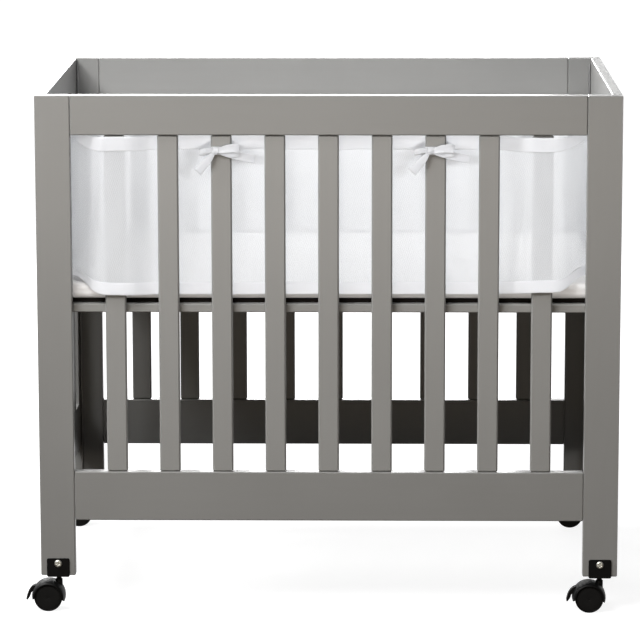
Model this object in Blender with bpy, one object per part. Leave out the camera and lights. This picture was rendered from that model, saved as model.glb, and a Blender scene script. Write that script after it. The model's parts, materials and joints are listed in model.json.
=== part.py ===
"""Mesh crib bumper woven through the slats of a mini crib on casters.

Units are metres, +Z is up and the crib's front faces -Y. The origin is on the floor, under the middle of
the object's box. The bumper is one strip of mesh with a folded binding on each long edge. It hangs inside
the slats, passes out in front of the first and last front slat, and turns back in beside the posts. Ribbon
ties hold it to the third and seventh slats.
"""

import math
from collections import namedtuple

import bmesh
import bpy
from mathutils import Matrix, Vector

GAP = 0.0003                # between pieces that touch
CUT_MARGIN = 0.002          # how far a cutter passes the face that it cuts
OVERLAP = 0.001             # how far shapes that become one solid reach into each other

# Crib frame
WIDTH = 1.016
DEPTH = 0.668
HEIGHT = 0.915
FRAME_THICKNESS = 0.022     # front and rear frames
POST_WIDTH = 0.061
LEG_BOTTOM = 0.064
TOP_RAIL_HEIGHT = 0.069     # of the front frame and the end panels
REAR_TOP_RAIL_HEIGHT = 0.079
BOTTOM_RAIL_Z = 0.164
BOTTOM_RAIL_HEIGHT = 0.087
SLAT_COUNT = 9
SLAT_WIDTH = 0.036
SLAT_THICKNESS = 0.015
SLAT_PITCH = 0.09275
SLAT_RECESS = 0.004         # slat face behind the frame's face
END_THICKNESS = 0.018
END_STILE_WIDTH = 0.045
END_SLAT_COUNT = 5
EASED_EDGE = 0.0015
SLAT_EASED_EDGE = 0.0025

# Mattress pad and what carries it
SUPPORT_Z = 0.532
SUPPORT_HEIGHT = 0.015
SUPPORT_DEPTH = 0.026
BOARD_THICKNESS = 0.0067
BOARD_LENGTH = 0.940
BOARD_DEPTH = 0.590
PAD_THICKNESS = 0.0277
PAD_LENGTH = 0.953
PAD_DEPTH = 0.603
PAD_CORNER_RADIUS = 0.030
PAD_EDGE_RADIUS = 0.011

# Bumper
MESH_THICKNESS = 0.003
TAPE_THICKNESS = 0.001
TOP_BINDING_HEIGHT = 0.025
BOTTOM_BINDING_HEIGHT = 0.022
BUMPER_TOP = 0.8435
BUMPER_BOTTOM = 0.563
BUMPER_SIDE_Y = 0.307       # the strip's middle, inside the front and rear slats
BUMPER_END_X = 0.484        # and inside the end panels
BUMPER_CORNER_RADIUS = 0.036
BUMPER_END_GAP = 0.004      # between the strip's two ends, behind the middle rear slat
MESH_BOW = 0.0020           # how far the mesh bows inwards between its bindings
MESH_BOW_LENGTH = 0.118     # from one bow to the next
MESH_BOW_DRIFT = 0.9        # radians by which the bows run ahead or behind
MESH_BOW_DRIFT_RATE = 5     # radians for each metre along the strip
MESH_SHARES = (0.0, 0.22, 0.5, 0.78, 1.0)   # rows of points, from the lower binding to the upper one
FRONT_POINTS = 19           # along each straight run of the strip
END_POINTS = 5
REAR_POINTS = 6             # on each half of the rear
REAR_CORNER_STEP = 15       # degrees
CURVE_STEPS = 2             # on each stretch of a smooth curve

# The strip's way round a front corner: from inside the second slat, out in front of the first one, back in
# beside the post and over the pad's corner to the end panel. x is measured outwards from the crib's middle,
# and the heights are those of the strip's lower and upper edge.
WeavePoint = namedtuple("WeavePoint", "x y left_bottom left_top right_bottom right_top")
WEAVE = (
    (0.270, -0.3070, 0.5630, 0.8435, 0.5635, 0.8435),
    (0.288, -0.3072, 0.5630, 0.8435, 0.5640, 0.8435),
    (0.304, -0.3100, 0.5632, 0.8433, 0.5650, 0.8430),
    (0.321, -0.3200, 0.5640, 0.8430, 0.5670, 0.8422),
    (0.337, -0.3310, 0.5650, 0.8430, 0.5690, 0.8420),
    (0.352, -0.3354, 0.5656, 0.8434, 0.5706, 0.8424),
    (0.371, -0.3358, 0.5660, 0.8436, 0.5714, 0.8418),
    (0.391, -0.3354, 0.5664, 0.8432, 0.5716, 0.8424),
    (0.406, -0.3298, 0.5690, 0.8434, 0.5730, 0.8430),
    (0.418, -0.3180, 0.5745, 0.8436, 0.5770, 0.8434),
    (0.427, -0.3062, 0.5800, 0.8442, 0.5815, 0.8440),
    (0.436, -0.2920, 0.5844, 0.8470, 0.5855, 0.8466),
    (0.450, -0.2660, 0.5852, 0.8500, 0.5875, 0.8500),
    (0.465, -0.2330, 0.5850, 0.8500, 0.5870, 0.8500),
    (0.477, -0.1960, 0.5845, 0.8490, 0.5855, 0.8490),
    (0.483, -0.1600, 0.5800, 0.8470, 0.5800, 0.8470),
    (0.484, -0.1200, 0.5690, 0.8450, 0.5690, 0.8450),
    (0.484, -0.0800, 0.5630, 0.8435, 0.5630, 0.8435),
)

# Ribbon ties, in front of a slat's face: x to the right, y inwards, z up from the knot's height
TIE_SLATS = (3, 7)
TIE_Z = 0.819
RIBBON_WIDTH = 0.015
RIBBON_THICKNESS = 0.001
RIBBON_CLEARANCE = 0.0022   # between the ribbon and the slat's edges
RIBBON_BACK_RISE = 0.008    # the ribbon is sewn to the top binding, above the knot's height
RIBBON_CORNER = 0.003       # radius of its turns round the slat
KNOT_PLACE = (-0.010, -0.0065, 0.0)
KNOT_SIZE = (0.011, 0.009, 0.012)
RibbonPoint = namedtuple("RibbonPoint", "x y z half_width lean")
RIBBON_RUNS = {             # a row for each RibbonPoint
    "right_loop": (
        (-0.008, -0.0080, 0.0000, 0.0030, 0.00),
        (0.003, -0.0115, 0.0030, 0.0062, 0.10),
        (0.015, -0.0140, 0.0052, 0.0074, 0.15),
        (0.026, -0.0145, 0.0058, 0.0075, 0.10),
        (0.0315, -0.0110, 0.0030, 0.0075, 0.00),
        (0.027, -0.0072, -0.0030, 0.0075, -0.15),
        (0.015, -0.0055, -0.0048, 0.0072, -0.15),
        (0.003, -0.0050, -0.0028, 0.0060, -0.10),
        (-0.008, -0.0055, 0.0000, 0.0030, 0.00),
    ),
    "left_loop": (
        (-0.012, -0.0080, 0.0005, 0.0030, 0.00),
        (-0.020, -0.0110, 0.0000, 0.0045, 0.10),
        (-0.030, -0.0120, -0.0020, 0.0052, 0.20),
        (-0.0365, -0.0090, -0.0035, 0.0052, 0.20),
        (-0.031, -0.0060, -0.0040, 0.0052, 0.10),
        (-0.021, -0.0050, -0.0025, 0.0045, 0.00),
        (-0.012, -0.0055, 0.0000, 0.0030, 0.00),
    ),
    "right_tail": (
        (-0.008, -0.0050, -0.0010, 0.0030, 0.00),
        (0.008, -0.0048, -0.0040, 0.0055, 0.15),
        (0.024, -0.0045, -0.0075, 0.0070, 0.25),
        (0.042, -0.0020, -0.0115, 0.0075, 0.32),
        (0.058, 0.0010, -0.0150, 0.0078, 0.36),
    ),
    "left_tail": (
        (-0.012, -0.0085, -0.0015, 0.0030, -0.60),
        (-0.019, -0.0110, -0.0110, 0.0055, -0.80),
        (-0.028, -0.0110, -0.0220, 0.0070, -0.86),
        (-0.043, -0.0085, -0.0380, 0.0078, -0.86),
    ),
}

# Casters
WHEEL_RADIUS = 0.0252
WHEEL_HALF_WIDTH = 0.020
WHEEL_INNER_FACE = 0.006    # the two wheels stand this far from the caster's middle
WHEEL_EASE = 0.003
AXLE_RADIUS = 0.006
WHEEL_SIDES = 20
TRAIL = 0.0183              # wheel axle behind the stem, towards -X
HOOD_RADIUS = 0.031
HOOD_INNER_RADIUS = 0.0277
HOOD_LIP_RADIUS = 0.0238
HOOD_HALF_WIDTH = 0.022
HOOD_LIP_THICKNESS = 0.0014
HOOD_FIRST_ANGLE = -20      # degrees, from +X towards +Z round the axle
HOOD_LAST_ANGLE = 192
HOOD_STEPS = 14
WEB_HALF_THICKNESS = 0.0047
WEB_ARCH_ANGLES = (18, 36, 54, 72, 90, 105)     # where the middle web meets the arch
WEB_RING_ANGLES = (125, 150, 180, 210, 240, 270, 300, 330, 355)     # and its way round the axle
WEB_RING_RADIUS = 0.0110
WEB_BORE_RADIUS = 0.0066
WEB_BORE_SIDES = 20
STEM_RADIUS = 0.005
STEM_SIDES = 16
STEM_BOTTOM = 0.034
BRAKE_HALF_WIDTH = 0.0056
BRAKE_SLOT_HALF_WIDTH = 0.0060
BRAKE_SLOT_END = -0.0165    # from the axle
BRAKE_SLOT_TOP = 0.0200
BRAKE_PIVOT = (-0.0224, 0.0150)
BRAKE_OUTLINE = (           # (x, z) from the axle
    (-0.0205, 0.0192), (-0.0244, 0.0192), (-0.0300, 0.0155), (-0.0352, 0.0082), (-0.0380, 0.0000),
    (-0.0392, -0.0066), (-0.0362, -0.0052), (-0.0330, -0.0004), (-0.0322, 0.0052), (-0.0275, 0.0100),
    (-0.0190, 0.0112), (-0.0180, 0.0155),
)
BRACKET_WIDTH = 0.040
BRACKET_THICKNESS = 0.0022
BRACKET_TOP = 0.0950
BRACKET_CORNER = 0.003
STEM_HOLE_RADIUS = 0.0056

# Places worked out from the sizes above
HALF_WIDTH = WIDTH / 2
HALF_DEPTH = DEPTH / 2
FRAME_INNER_Y = HALF_DEPTH - FRAME_THICKNESS
RAIL_HALF_LENGTH = HALF_WIDTH - POST_WIDTH - GAP
TOP_RAIL_Z = HEIGHT - TOP_RAIL_HEIGHT
REAR_TOP_RAIL_Z = HEIGHT - REAR_TOP_RAIL_HEIGHT
BOTTOM_RAIL_TOP = BOTTOM_RAIL_Z + BOTTOM_RAIL_HEIGHT
SLAT_FACE_Y = HALF_DEPTH - SLAT_RECESS
END_INNER_X = HALF_WIDTH - END_THICKNESS
BOARD_Z = SUPPORT_Z + SUPPORT_HEIGHT + GAP
PAD_Z = BOARD_Z + BOARD_THICKNESS + GAP
STEM_X = HALF_WIDTH - POST_WIDTH / 2
STEM_Y = HALF_DEPTH - FRAME_THICKNESS / 2
AXLE_Z = WHEEL_RADIUS * math.cos(math.pi / WHEEL_SIDES)
BRAKE_REACH = -min(x for x, _ in BRAKE_OUTLINE)
LEFT_REACH = STEM_X + TRAIL + BRAKE_REACH
CRIB_X = (LEFT_REACH - HALF_WIDTH) / 2      # puts the origin under the middle of the box

COLLECTION = "crib_bumper_on_mini_crib"

PAINTS = {                  # base colour, roughness, metallic
    "painted_wood": ((0.290, 0.285, 0.265, 1.0), 0.45, 0.0),
    "board": ((0.035, 0.028, 0.024, 1.0), 0.70, 0.0),
    "pad_cover": ((0.850, 0.850, 0.870, 1.0), 0.85, 0.0),
    "mesh": ((0.880, 0.885, 0.900, 1.0), 0.90, 0.0),
    "binding": ((0.830, 0.830, 0.850, 1.0), 0.70, 0.0),
    "ribbon": ((0.860, 0.860, 0.880, 1.0), 0.50, 0.0),
    "caster_plastic": ((0.010, 0.010, 0.011, 1.0), 0.35, 0.0),
    "bracket_steel": ((0.012, 0.012, 0.013, 1.0), 0.45, 0.6),
}


def clear_scene():
    for item in list(bpy.data.objects):
        bpy.data.objects.remove(item, do_unlink=True)


def make_collection(name):
    collection = bpy.data.collections.new(name)
    bpy.context.scene.collection.children.link(collection)
    return collection


def material(part_name, paint):
    """Each part has its own material, in one of the paints above."""
    color, roughness, metallic = PAINTS[paint]
    made = bpy.data.materials.new(part_name)
    made.use_nodes = True
    shader = made.node_tree.nodes["Principled BSDF"]
    shader.inputs["Base Color"].default_value = color
    shader.inputs["Roughness"].default_value = roughness
    shader.inputs["Metallic"].default_value = metallic
    made.diffuse_color = color
    return made


def add_part(name, mesh, paint, parent, place=(0, 0, 0), turn=(0, 0, 0)):
    """One sub-part. Several may share a mesh, so the material is on the object."""
    if not mesh.materials:
        mesh.materials.append(None)
    part = bpy.data.objects.new(name, mesh)
    bpy.data.collections[COLLECTION].objects.link(part)
    part.parent = parent
    part.location = place
    part.rotation_euler = turn
    part.material_slots[0].link = "OBJECT"
    part.material_slots[0].material = material(name, paint)
    return part


def mesh_from(bm, name, smooth_angle=None):
    """Turns a bmesh into a mesh with its faces pointing out."""
    bmesh.ops.recalc_face_normals(bm, faces=bm.faces)
    mesh = bpy.data.meshes.new(name)
    bm.to_mesh(mesh)
    bm.free()
    if smooth_angle is not None:
        mesh.shade_smooth()
        mesh.set_sharp_from_angle(angle=math.radians(smooth_angle))
    return mesh


def box_mesh(name, low, high, eased_edge=0.0):
    bm = bmesh.new()
    size = [b - a for a, b in zip(low, high)]
    middle = [(a + b) / 2 for a, b in zip(low, high)]
    bmesh.ops.create_cube(bm, size=1, matrix=Matrix.Translation(middle) @ Matrix.Diagonal((*size, 1)))
    if eased_edge:
        bmesh.ops.bevel(bm, geom=bm.edges[:], offset=eased_edge, segments=1, affect="EDGES", clamp_overlap=True)
    return mesh_from(bm, name)


def rounded_outline(left, right, low, high, radius, steps):
    """Points round a rectangle with round corners, each corner an arc with a point at each step's angle."""
    points = []
    for centre_u, centre_v, first in (
        (right - radius, high - radius, 0),
        (left + radius, high - radius, 90),
        (left + radius, low + radius, 180),
        (right - radius, low + radius, 270),
    ):
        for step in steps:
            angle = math.radians(first + step)
            points.append((centre_u + radius * math.cos(angle), centre_v + radius * math.sin(angle)))
    return points


def prism(outline, half_thickness, name):
    """A solid with an (x, z) outline and flat sides at y = +-half_thickness."""
    bm = bmesh.new()
    face = bm.faces.new([bm.verts.new((x, -half_thickness, z)) for x, z in outline])
    pushed = bmesh.ops.extrude_face_region(bm, geom=[face])
    moved = [v for v in pushed["geom"] if isinstance(v, bmesh.types.BMVert)]
    bmesh.ops.translate(bm, verts=moved, vec=(0, 2 * half_thickness, 0))
    return mesh_from(bm, name)


def sweep(sections, name, closed=False, smooth_angle=35):
    """A loft through sections that all have the same number of points, with flat ends unless closed."""
    bm = bmesh.new()
    rings = [[bm.verts.new(p) for p in section] for section in sections]
    count = len(rings[0])
    pairs = list(zip(rings, rings[1:]))
    if closed:
        pairs.append((rings[-1], rings[0]))
    for ring, following in pairs:
        for i in range(count):
            j = (i + 1) % count
            bm.faces.new((ring[i], ring[j], following[j], following[i]))
    if not closed:
        bm.faces.new(rings[0])
        bm.faces.new(rings[-1][::-1])
    return mesh_from(bm, name, smooth_angle)


def catmull_rom(points, steps):
    """A smooth curve through the points, each a tuple of any length, with steps on each stretch."""
    ends = [points[0], *points, points[-1]]
    curve = []
    for a, b, c, d in zip(ends, ends[1:], ends[2:], ends[3:]):
        for k in range(steps):
            t = k / steps
            curve.append(tuple(
                0.5 * (2 * q + (r - p) * t + (2 * p - 5 * q + 4 * r - s) * t ** 2
                       + (3 * q - p - 3 * r + s) * t ** 3)
                for p, q, r, s in zip(a, b, c, d)
            ))
    curve.append(tuple(points[-1]))
    return curve


def united(name, meshes, cut_by=()):
    """One solid from overlapping ones, less the cutters. The helper objects are removed again."""
    base = bpy.data.objects.new(name, meshes[0])
    bpy.context.scene.collection.objects.link(base)
    helpers = []
    jobs = [(m, "UNION") for m in meshes[1:]] + [(m, "DIFFERENCE") for m in cut_by]
    for mesh, operation in jobs:
        helper = bpy.data.objects.new(mesh.name, mesh)
        bpy.context.scene.collection.objects.link(helper)
        helpers.append(helper)
        boolean = base.modifiers.new(mesh.name, "BOOLEAN")
        boolean.operation = operation
        boolean.solver = "EXACT"
        boolean.object = helper
    bpy.context.view_layer.update()
    evaluated = base.evaluated_get(bpy.context.evaluated_depsgraph_get())
    mesh = bpy.data.meshes.new_from_object(evaluated)
    mesh.name = name
    bpy.data.objects.remove(base)
    for helper in helpers:
        bpy.data.objects.remove(helper)
    return mesh


# Crib frame

def slat_x(number):
    return (number - (SLAT_COUNT + 1) / 2) * SLAT_PITCH


def build_side_frame(side, facing, crib):
    """Front (facing -1) or rear (facing +1) frame: two posts, two rails and the slats."""
    outer, inner = facing * HALF_DEPTH, facing * FRAME_INNER_Y
    y_low, y_high = sorted((outer, inner))
    top_rail_z = TOP_RAIL_Z if side == "front" else REAR_TOP_RAIL_Z
    for end, direction in (("left", -1), ("right", 1)):
        x_low, x_high = sorted((direction * HALF_WIDTH, direction * (HALF_WIDTH - POST_WIDTH)))
        post = box_mesh("post", (x_low, y_low, LEG_BOTTOM), (x_high, y_high, HEIGHT), EASED_EDGE)
        add_part(f"post_{side}_{end}", post, "painted_wood", crib)
    for level, z_low, z_high in (
        ("top", top_rail_z, HEIGHT),
        ("bottom", BOTTOM_RAIL_Z, BOTTOM_RAIL_TOP),
    ):
        rail = box_mesh(
            "rail", (-RAIL_HALF_LENGTH, y_low, z_low), (RAIL_HALF_LENGTH, y_high, z_high), EASED_EDGE
        )
        add_part(f"rail_{side}_{level}", rail, "painted_wood", crib)
    slat_y = facing * (SLAT_FACE_Y - SLAT_THICKNESS / 2)
    slat = box_mesh(
        "slat",
        (-SLAT_WIDTH / 2, -SLAT_THICKNESS / 2, BOTTOM_RAIL_TOP + GAP),
        (SLAT_WIDTH / 2, SLAT_THICKNESS / 2, top_rail_z - GAP),
        SLAT_EASED_EDGE,
    )
    for number in range(1, SLAT_COUNT + 1):
        add_part(f"slat_{side}_{number}", slat, "painted_wood", crib, (slat_x(number), slat_y, 0))


def build_end_panel(name, direction, crib):
    """A slatted panel between the front and rear frames, cut from one board."""
    x_low, x_high = sorted((direction * HALF_WIDTH, direction * END_INNER_X))
    half_depth = FRAME_INNER_Y - GAP
    panel = box_mesh(name, (x_low, -half_depth, BOTTOM_RAIL_Z), (x_high, half_depth, HEIGHT), EASED_EDGE)
    opening = 2 * (half_depth - END_STILE_WIDTH)
    window = (opening - END_SLAT_COUNT * SLAT_WIDTH) / (END_SLAT_COUNT + 1)
    windows = []
    for i in range(END_SLAT_COUNT + 1):
        y = -opening / 2 + i * (window + SLAT_WIDTH)
        low = (x_low - END_THICKNESS, y, BOTTOM_RAIL_TOP)
        high = (x_high + END_THICKNESS, y + window, TOP_RAIL_Z)
        windows.append(box_mesh(f"{name}_window_{i + 1}", low, high))
    add_part(name, united(name, [panel], windows), "painted_wood", crib)


def build_bed(crib):
    """Support rails, board and mattress pad."""
    half_length = END_INNER_X - GAP
    for side, facing in (("front", -1), ("rear", 1)):
        outer = facing * (FRAME_INNER_Y - GAP)
        y_low, y_high = sorted((outer, outer - facing * SUPPORT_DEPTH))
        rail = box_mesh(
            "support",
            (-half_length, y_low, SUPPORT_Z),
            (half_length, y_high, SUPPORT_Z + SUPPORT_HEIGHT),
            EASED_EDGE,
        )
        add_part(f"support_{side}", rail, "painted_wood", crib)
    board = box_mesh(
        "board",
        (-BOARD_LENGTH / 2, -BOARD_DEPTH / 2, BOARD_Z),
        (BOARD_LENGTH / 2, BOARD_DEPTH / 2, BOARD_Z + BOARD_THICKNESS),
    )
    add_part("board", board, "board", crib)
    add_part("pad", pad_mesh(), "pad_cover", crib)


def pad_mesh():
    """A thin pad with round corners and edges."""
    bm = bmesh.new()
    size = (PAD_LENGTH, PAD_DEPTH, PAD_THICKNESS, 1)
    middle = Matrix.Translation((0, 0, PAD_Z + PAD_THICKNESS / 2))
    bmesh.ops.create_cube(bm, size=1, matrix=middle @ Matrix.Diagonal(size))
    upright = [e for e in bm.edges if abs(e.verts[0].co.z - e.verts[1].co.z) > PAD_THICKNESS / 2]
    bmesh.ops.bevel(bm, geom=upright, offset=PAD_CORNER_RADIUS, segments=5, affect="EDGES", profile=0.5)
    rims = [e for e in bm.edges if abs(e.verts[0].co.z - e.verts[1].co.z) < PAD_THICKNESS / 2]
    bmesh.ops.bevel(bm, geom=rims, offset=PAD_EDGE_RADIUS, segments=3, affect="EDGES", profile=0.5)
    return mesh_from(bm, "pad", 40)


# Bumper

def corner_route(direction):
    """The weave round one front corner, from the front's middle outwards: x, y, bottom and top."""
    points = []
    for row in map(WeavePoint._make, WEAVE):
        edges = (row.left_bottom, row.left_top) if direction < 0 else (row.right_bottom, row.right_top)
        points.append((direction * row.x, row.y, *edges))
    return points


def rear_corner(direction):
    """Points round a rear corner, from the end panel to the rear slats."""
    centre_x = BUMPER_END_X - BUMPER_CORNER_RADIUS
    centre_y = BUMPER_SIDE_Y - BUMPER_CORNER_RADIUS
    points = []
    for degrees in range(0, 91, REAR_CORNER_STEP):
        angle = math.radians(degrees)
        x = direction * (centre_x + BUMPER_CORNER_RADIUS * math.cos(angle))
        points.append((x, centre_y + BUMPER_CORNER_RADIUS * math.sin(angle), BUMPER_BOTTOM, BUMPER_TOP))
    return points


def straight(start, end, count):
    """Points between two places along a straight run, without its ends."""
    shares = [k / (count + 1) for k in range(1, count + 1)]
    return [(*[a + (b - a) * t for a, b in zip(start, end)], BUMPER_BOTTOM, BUMPER_TOP) for t in shares]


def bumper_route():
    """The strip's line seen from above, with its edges' heights, from one end to the other."""
    half = []
    for direction in (-1, 1):
        weave = catmull_rom(corner_route(direction), CURVE_STEPS)
        rear = rear_corner(direction)
        along_end = straight(weave[-1][:2], rear[0][:2], END_POINTS)
        finish = (direction * BUMPER_END_GAP / 2, BUMPER_SIDE_Y)
        along_rear = straight(rear[-1][:2], finish, REAR_POINTS)
        half.append([*weave, *along_end, *rear, *along_rear, (*finish, BUMPER_BOTTOM, BUMPER_TOP)])
    left, right = half
    front = straight(left[0][:2], right[0][:2], FRONT_POINTS)
    return [*left[::-1], *front, *right]


def run_frames(route):
    """For each point of the route: its place, the level direction across the cloth, and arc length."""
    frames, length = [], 0.0
    for i, point in enumerate(route):
        before, after = route[max(i - 1, 0)], route[min(i + 1, len(route) - 1)]
        along = Vector((after[0] - before[0], after[1] - before[1], 0)).normalized()
        across = Vector((-along.y, along.x, 0))     # towards the inside of the crib
        if i:
            length += (Vector(point[:2]) - Vector(before[:2])).length
        frames.append((point, across, length))
    return frames


def bow(length, share):
    """How far the mesh stands inwards off its line between the bindings, in slow uneven waves."""
    drift = MESH_BOW_DRIFT * math.sin(MESH_BOW_DRIFT_RATE * length)
    wave = 0.5 - 0.5 * math.cos(2 * math.pi * length / MESH_BOW_LENGTH + drift)
    return MESH_BOW * wave * math.sin(math.pi * share) ** 2


def build_bumper(crib):
    """The mesh, and a binding folded over each of its long edges."""
    frames = run_frames(bumper_route())
    mesh_sections, top_sections, bottom_sections = [], [], []
    skin = MESH_THICKNESS / 2
    cavity = skin + GAP
    shell = cavity + TAPE_THICKNESS
    fold = GAP + TAPE_THICKNESS      # from the mesh's cut edge to the outside of the binding's fold
    for (x, y, bottom, top), across, length in frames:
        base = Vector((x, y, 0))
        low, high = bottom + BOTTOM_BINDING_HEIGHT, top - TOP_BINDING_HEIGHT
        levels = [(bottom + fold, 0.0)]
        levels += [(low + (high - low) * share, bow(length, share)) for share in MESH_SHARES]
        levels += [(top - fold, 0.0)]
        outer = [base + across * (off - skin) + Vector((0, 0, z)) for z, off in levels]
        inner = [base + across * (off + skin) + Vector((0, 0, z)) for z, off in levels]
        mesh_sections.append(outer + inner[::-1])
        for sections, edge, direction, height in (
            (top_sections, top, -1, TOP_BINDING_HEIGHT),
            (bottom_sections, bottom, 1, BOTTOM_BINDING_HEIGHT),
        ):
            mouth = edge + direction * height
            floor = edge + direction * TAPE_THICKNESS
            profile = (
                (-shell, mouth), (-shell, edge), (shell, edge), (shell, mouth),
                (cavity, mouth), (cavity, floor), (-cavity, floor), (-cavity, mouth),
            )
            sections.append([base + across * u + Vector((0, 0, z)) for u, z in profile])
    add_part("bumper_mesh", sweep(mesh_sections, "bumper_mesh"), "mesh", crib)
    add_part("bumper_binding_top", sweep(top_sections, "binding_top"), "binding", crib)
    add_part("bumper_binding_bottom", sweep(bottom_sections, "binding_bottom"), "binding", crib)


# Ties

def ribbon(name, points, closed=False):
    """A flat ribbon through the points, its width upright but for its lean."""
    sections = []
    last = len(points) - 1
    for i, point in enumerate(map(RibbonPoint._make, points)):
        before = points[i - 1] if closed or i else points[i]
        after = points[(i + 1) % len(points)] if closed or i < last else points[i]
        along = (Vector(after[:3]) - Vector(before[:3])).normalized()
        upright = Vector((point.lean, 0, math.sqrt(1 - point.lean ** 2))) * point.half_width
        across = along.cross(upright).normalized() * RIBBON_THICKNESS / 2
        middle = Vector(point[:3])
        sections.append([
            middle + upright + across, middle + upright - across,
            middle - upright - across, middle - upright + across,
        ])
    return sweep(sections, name, closed)


def ribbon_ring():
    """The ribbon round the slat, higher at the back where it is sewn to the binding."""
    half_x = SLAT_WIDTH / 2 + RIBBON_CLEARANCE + RIBBON_THICKNESS / 2
    front_y = -RIBBON_CLEARANCE - RIBBON_THICKNESS / 2
    binding_half = MESH_THICKNESS / 2 + GAP + TAPE_THICKNESS
    back_y = SLAT_FACE_Y - BUMPER_SIDE_Y - binding_half - GAP - RIBBON_THICKNESS / 2
    points = []
    for x, y in rounded_outline(-half_x, half_x, front_y, back_y, RIBBON_CORNER, (0, 45, 90)):
        rise = RIBBON_BACK_RISE * (y - front_y) / (back_y - front_y)
        points.append((x, y, rise, RIBBON_WIDTH / 2, 0.0))
    return ribbon("ring", points, closed=True)


def knot_mesh():
    bm = bmesh.new()
    place = Matrix.Translation(KNOT_PLACE) @ Matrix.Diagonal((*KNOT_SIZE, 1))
    bmesh.ops.create_icosphere(bm, subdivisions=1, radius=0.5, matrix=place)
    return mesh_from(bm, "knot", 60)


def build_ties(crib):
    """Each tie goes round its slat, with its knot, loops and free ends in front of the slat's face."""
    runs = [ribbon(run, catmull_rom(points, CURVE_STEPS)) for run, points in RIBBON_RUNS.items()]
    tie = united("tie", [ribbon_ring(), knot_mesh(), *runs])
    for number in TIE_SLATS:
        front = (slat_x(number), -SLAT_FACE_Y, TIE_Z)
        rear = (slat_x(number), SLAT_FACE_Y, TIE_Z)
        add_part(f"tie_front_{number}", tie, "ribbon", crib, front)
        add_part(f"tie_rear_{number}", tie, "ribbon", crib, rear, (0, 0, math.pi))


# Casters

def wheel_pair_mesh():
    """Both wheels and the axle between them, turned about Y, with a flat side on the floor."""
    half = [
        (0.0, WHEEL_HALF_WIDTH),
        (WHEEL_RADIUS - WHEEL_EASE, WHEEL_HALF_WIDTH),
        (WHEEL_RADIUS, WHEEL_HALF_WIDTH - WHEEL_EASE),
        (WHEEL_RADIUS, WHEEL_INNER_FACE + WHEEL_EASE / 2),
        (WHEEL_RADIUS - WHEEL_EASE / 2, WHEEL_INNER_FACE),
        (AXLE_RADIUS, WHEEL_INNER_FACE),
    ]
    profile = half + [(r, -y) for r, y in half[::-1]]
    bm = bmesh.new()
    points = [bm.verts.new((r, 0, y)) for r, y in profile]
    edges = [bm.edges.new(pair) for pair in zip(points, points[1:])]
    bmesh.ops.spin(
        bm, geom=points + edges, cent=(0, 0, 0), axis=(0, 0, 1), angle=2 * math.pi, steps=WHEEL_SIDES
    )
    bmesh.ops.remove_doubles(bm, verts=bm.verts, dist=0.00001)
    facet_down = Matrix.Rotation(math.pi / 2 + math.pi / WHEEL_SIDES, 4, "Z")
    bmesh.ops.transform(bm, matrix=Matrix.Rotation(math.pi / 2, 4, "X") @ facet_down, verts=bm.verts)
    return mesh_from(bm, "wheel_pair", 30)


def round_the_axle(radius, degrees):
    angle = math.radians(degrees)
    return radius * math.cos(angle), radius * math.sin(angle)


def hood_mesh():
    """The arched cover over both wheels, its middle web with the axle's bore, and the stem."""
    lip = HOOD_HALF_WIDTH - HOOD_LIP_THICKNESS
    channel = (
        (HOOD_RADIUS, -HOOD_HALF_WIDTH), (HOOD_RADIUS, HOOD_HALF_WIDTH),
        (HOOD_LIP_RADIUS, HOOD_HALF_WIDTH), (HOOD_LIP_RADIUS, lip),
        (HOOD_INNER_RADIUS, lip), (HOOD_INNER_RADIUS, -lip),
        (HOOD_LIP_RADIUS, -lip), (HOOD_LIP_RADIUS, -HOOD_HALF_WIDTH),
    )
    sections = []
    for k in range(HOOD_STEPS + 1):
        degrees = HOOD_FIRST_ANGLE + (HOOD_LAST_ANGLE - HOOD_FIRST_ANGLE) * k / HOOD_STEPS
        ring = []
        for radius, y in channel:
            x, z = round_the_axle(radius, degrees)
            ring.append((x, y, z))
        sections.append(ring)
    arch = sweep(sections, "arch")
    arm = [round_the_axle(HOOD_INNER_RADIUS + OVERLAP, degrees) for degrees in WEB_ARCH_ANGLES]
    arm += [round_the_axle(WEB_RING_RADIUS, degrees) for degrees in WEB_RING_ANGLES]
    web = prism(arm, WEB_HALF_THICKNESS, "web")
    bore_end = WEB_HALF_THICKNESS + CUT_MARGIN
    along_axle = Matrix.Rotation(math.pi / 2, 4, "X")
    bore = cylinder_mesh("bore", WEB_BORE_RADIUS, -bore_end, bore_end, WEB_BORE_SIDES, along_axle)
    stem_top = LEG_BOTTOM - GAP - AXLE_Z
    stem_place = Matrix.Translation((TRAIL, 0, 0))
    stem = cylinder_mesh("stem", STEM_RADIUS, STEM_BOTTOM - AXLE_Z, stem_top, STEM_SIDES, stem_place)
    slot = box_mesh(
        "slot",
        (-HOOD_RADIUS - CUT_MARGIN, -BRAKE_SLOT_HALF_WIDTH, -HOOD_INNER_RADIUS),
        (BRAKE_SLOT_END, BRAKE_SLOT_HALF_WIDTH, BRAKE_SLOT_TOP),
    )
    hood = united("hood", [arch, web, stem], [bore, slot])
    hood.shade_smooth()
    hood.set_sharp_from_angle(angle=math.radians(30))
    return hood


def cylinder_mesh(name, radius, low, high, sides, place=Matrix.Identity(4)):
    bm = bmesh.new()
    middle = Matrix.Translation((0, 0, (low + high) / 2))
    bmesh.ops.create_cone(
        bm, cap_ends=True, segments=sides, radius1=radius, radius2=radius, depth=high - low,
        matrix=place @ middle,
    )
    return mesh_from(bm, name, 30)


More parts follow.
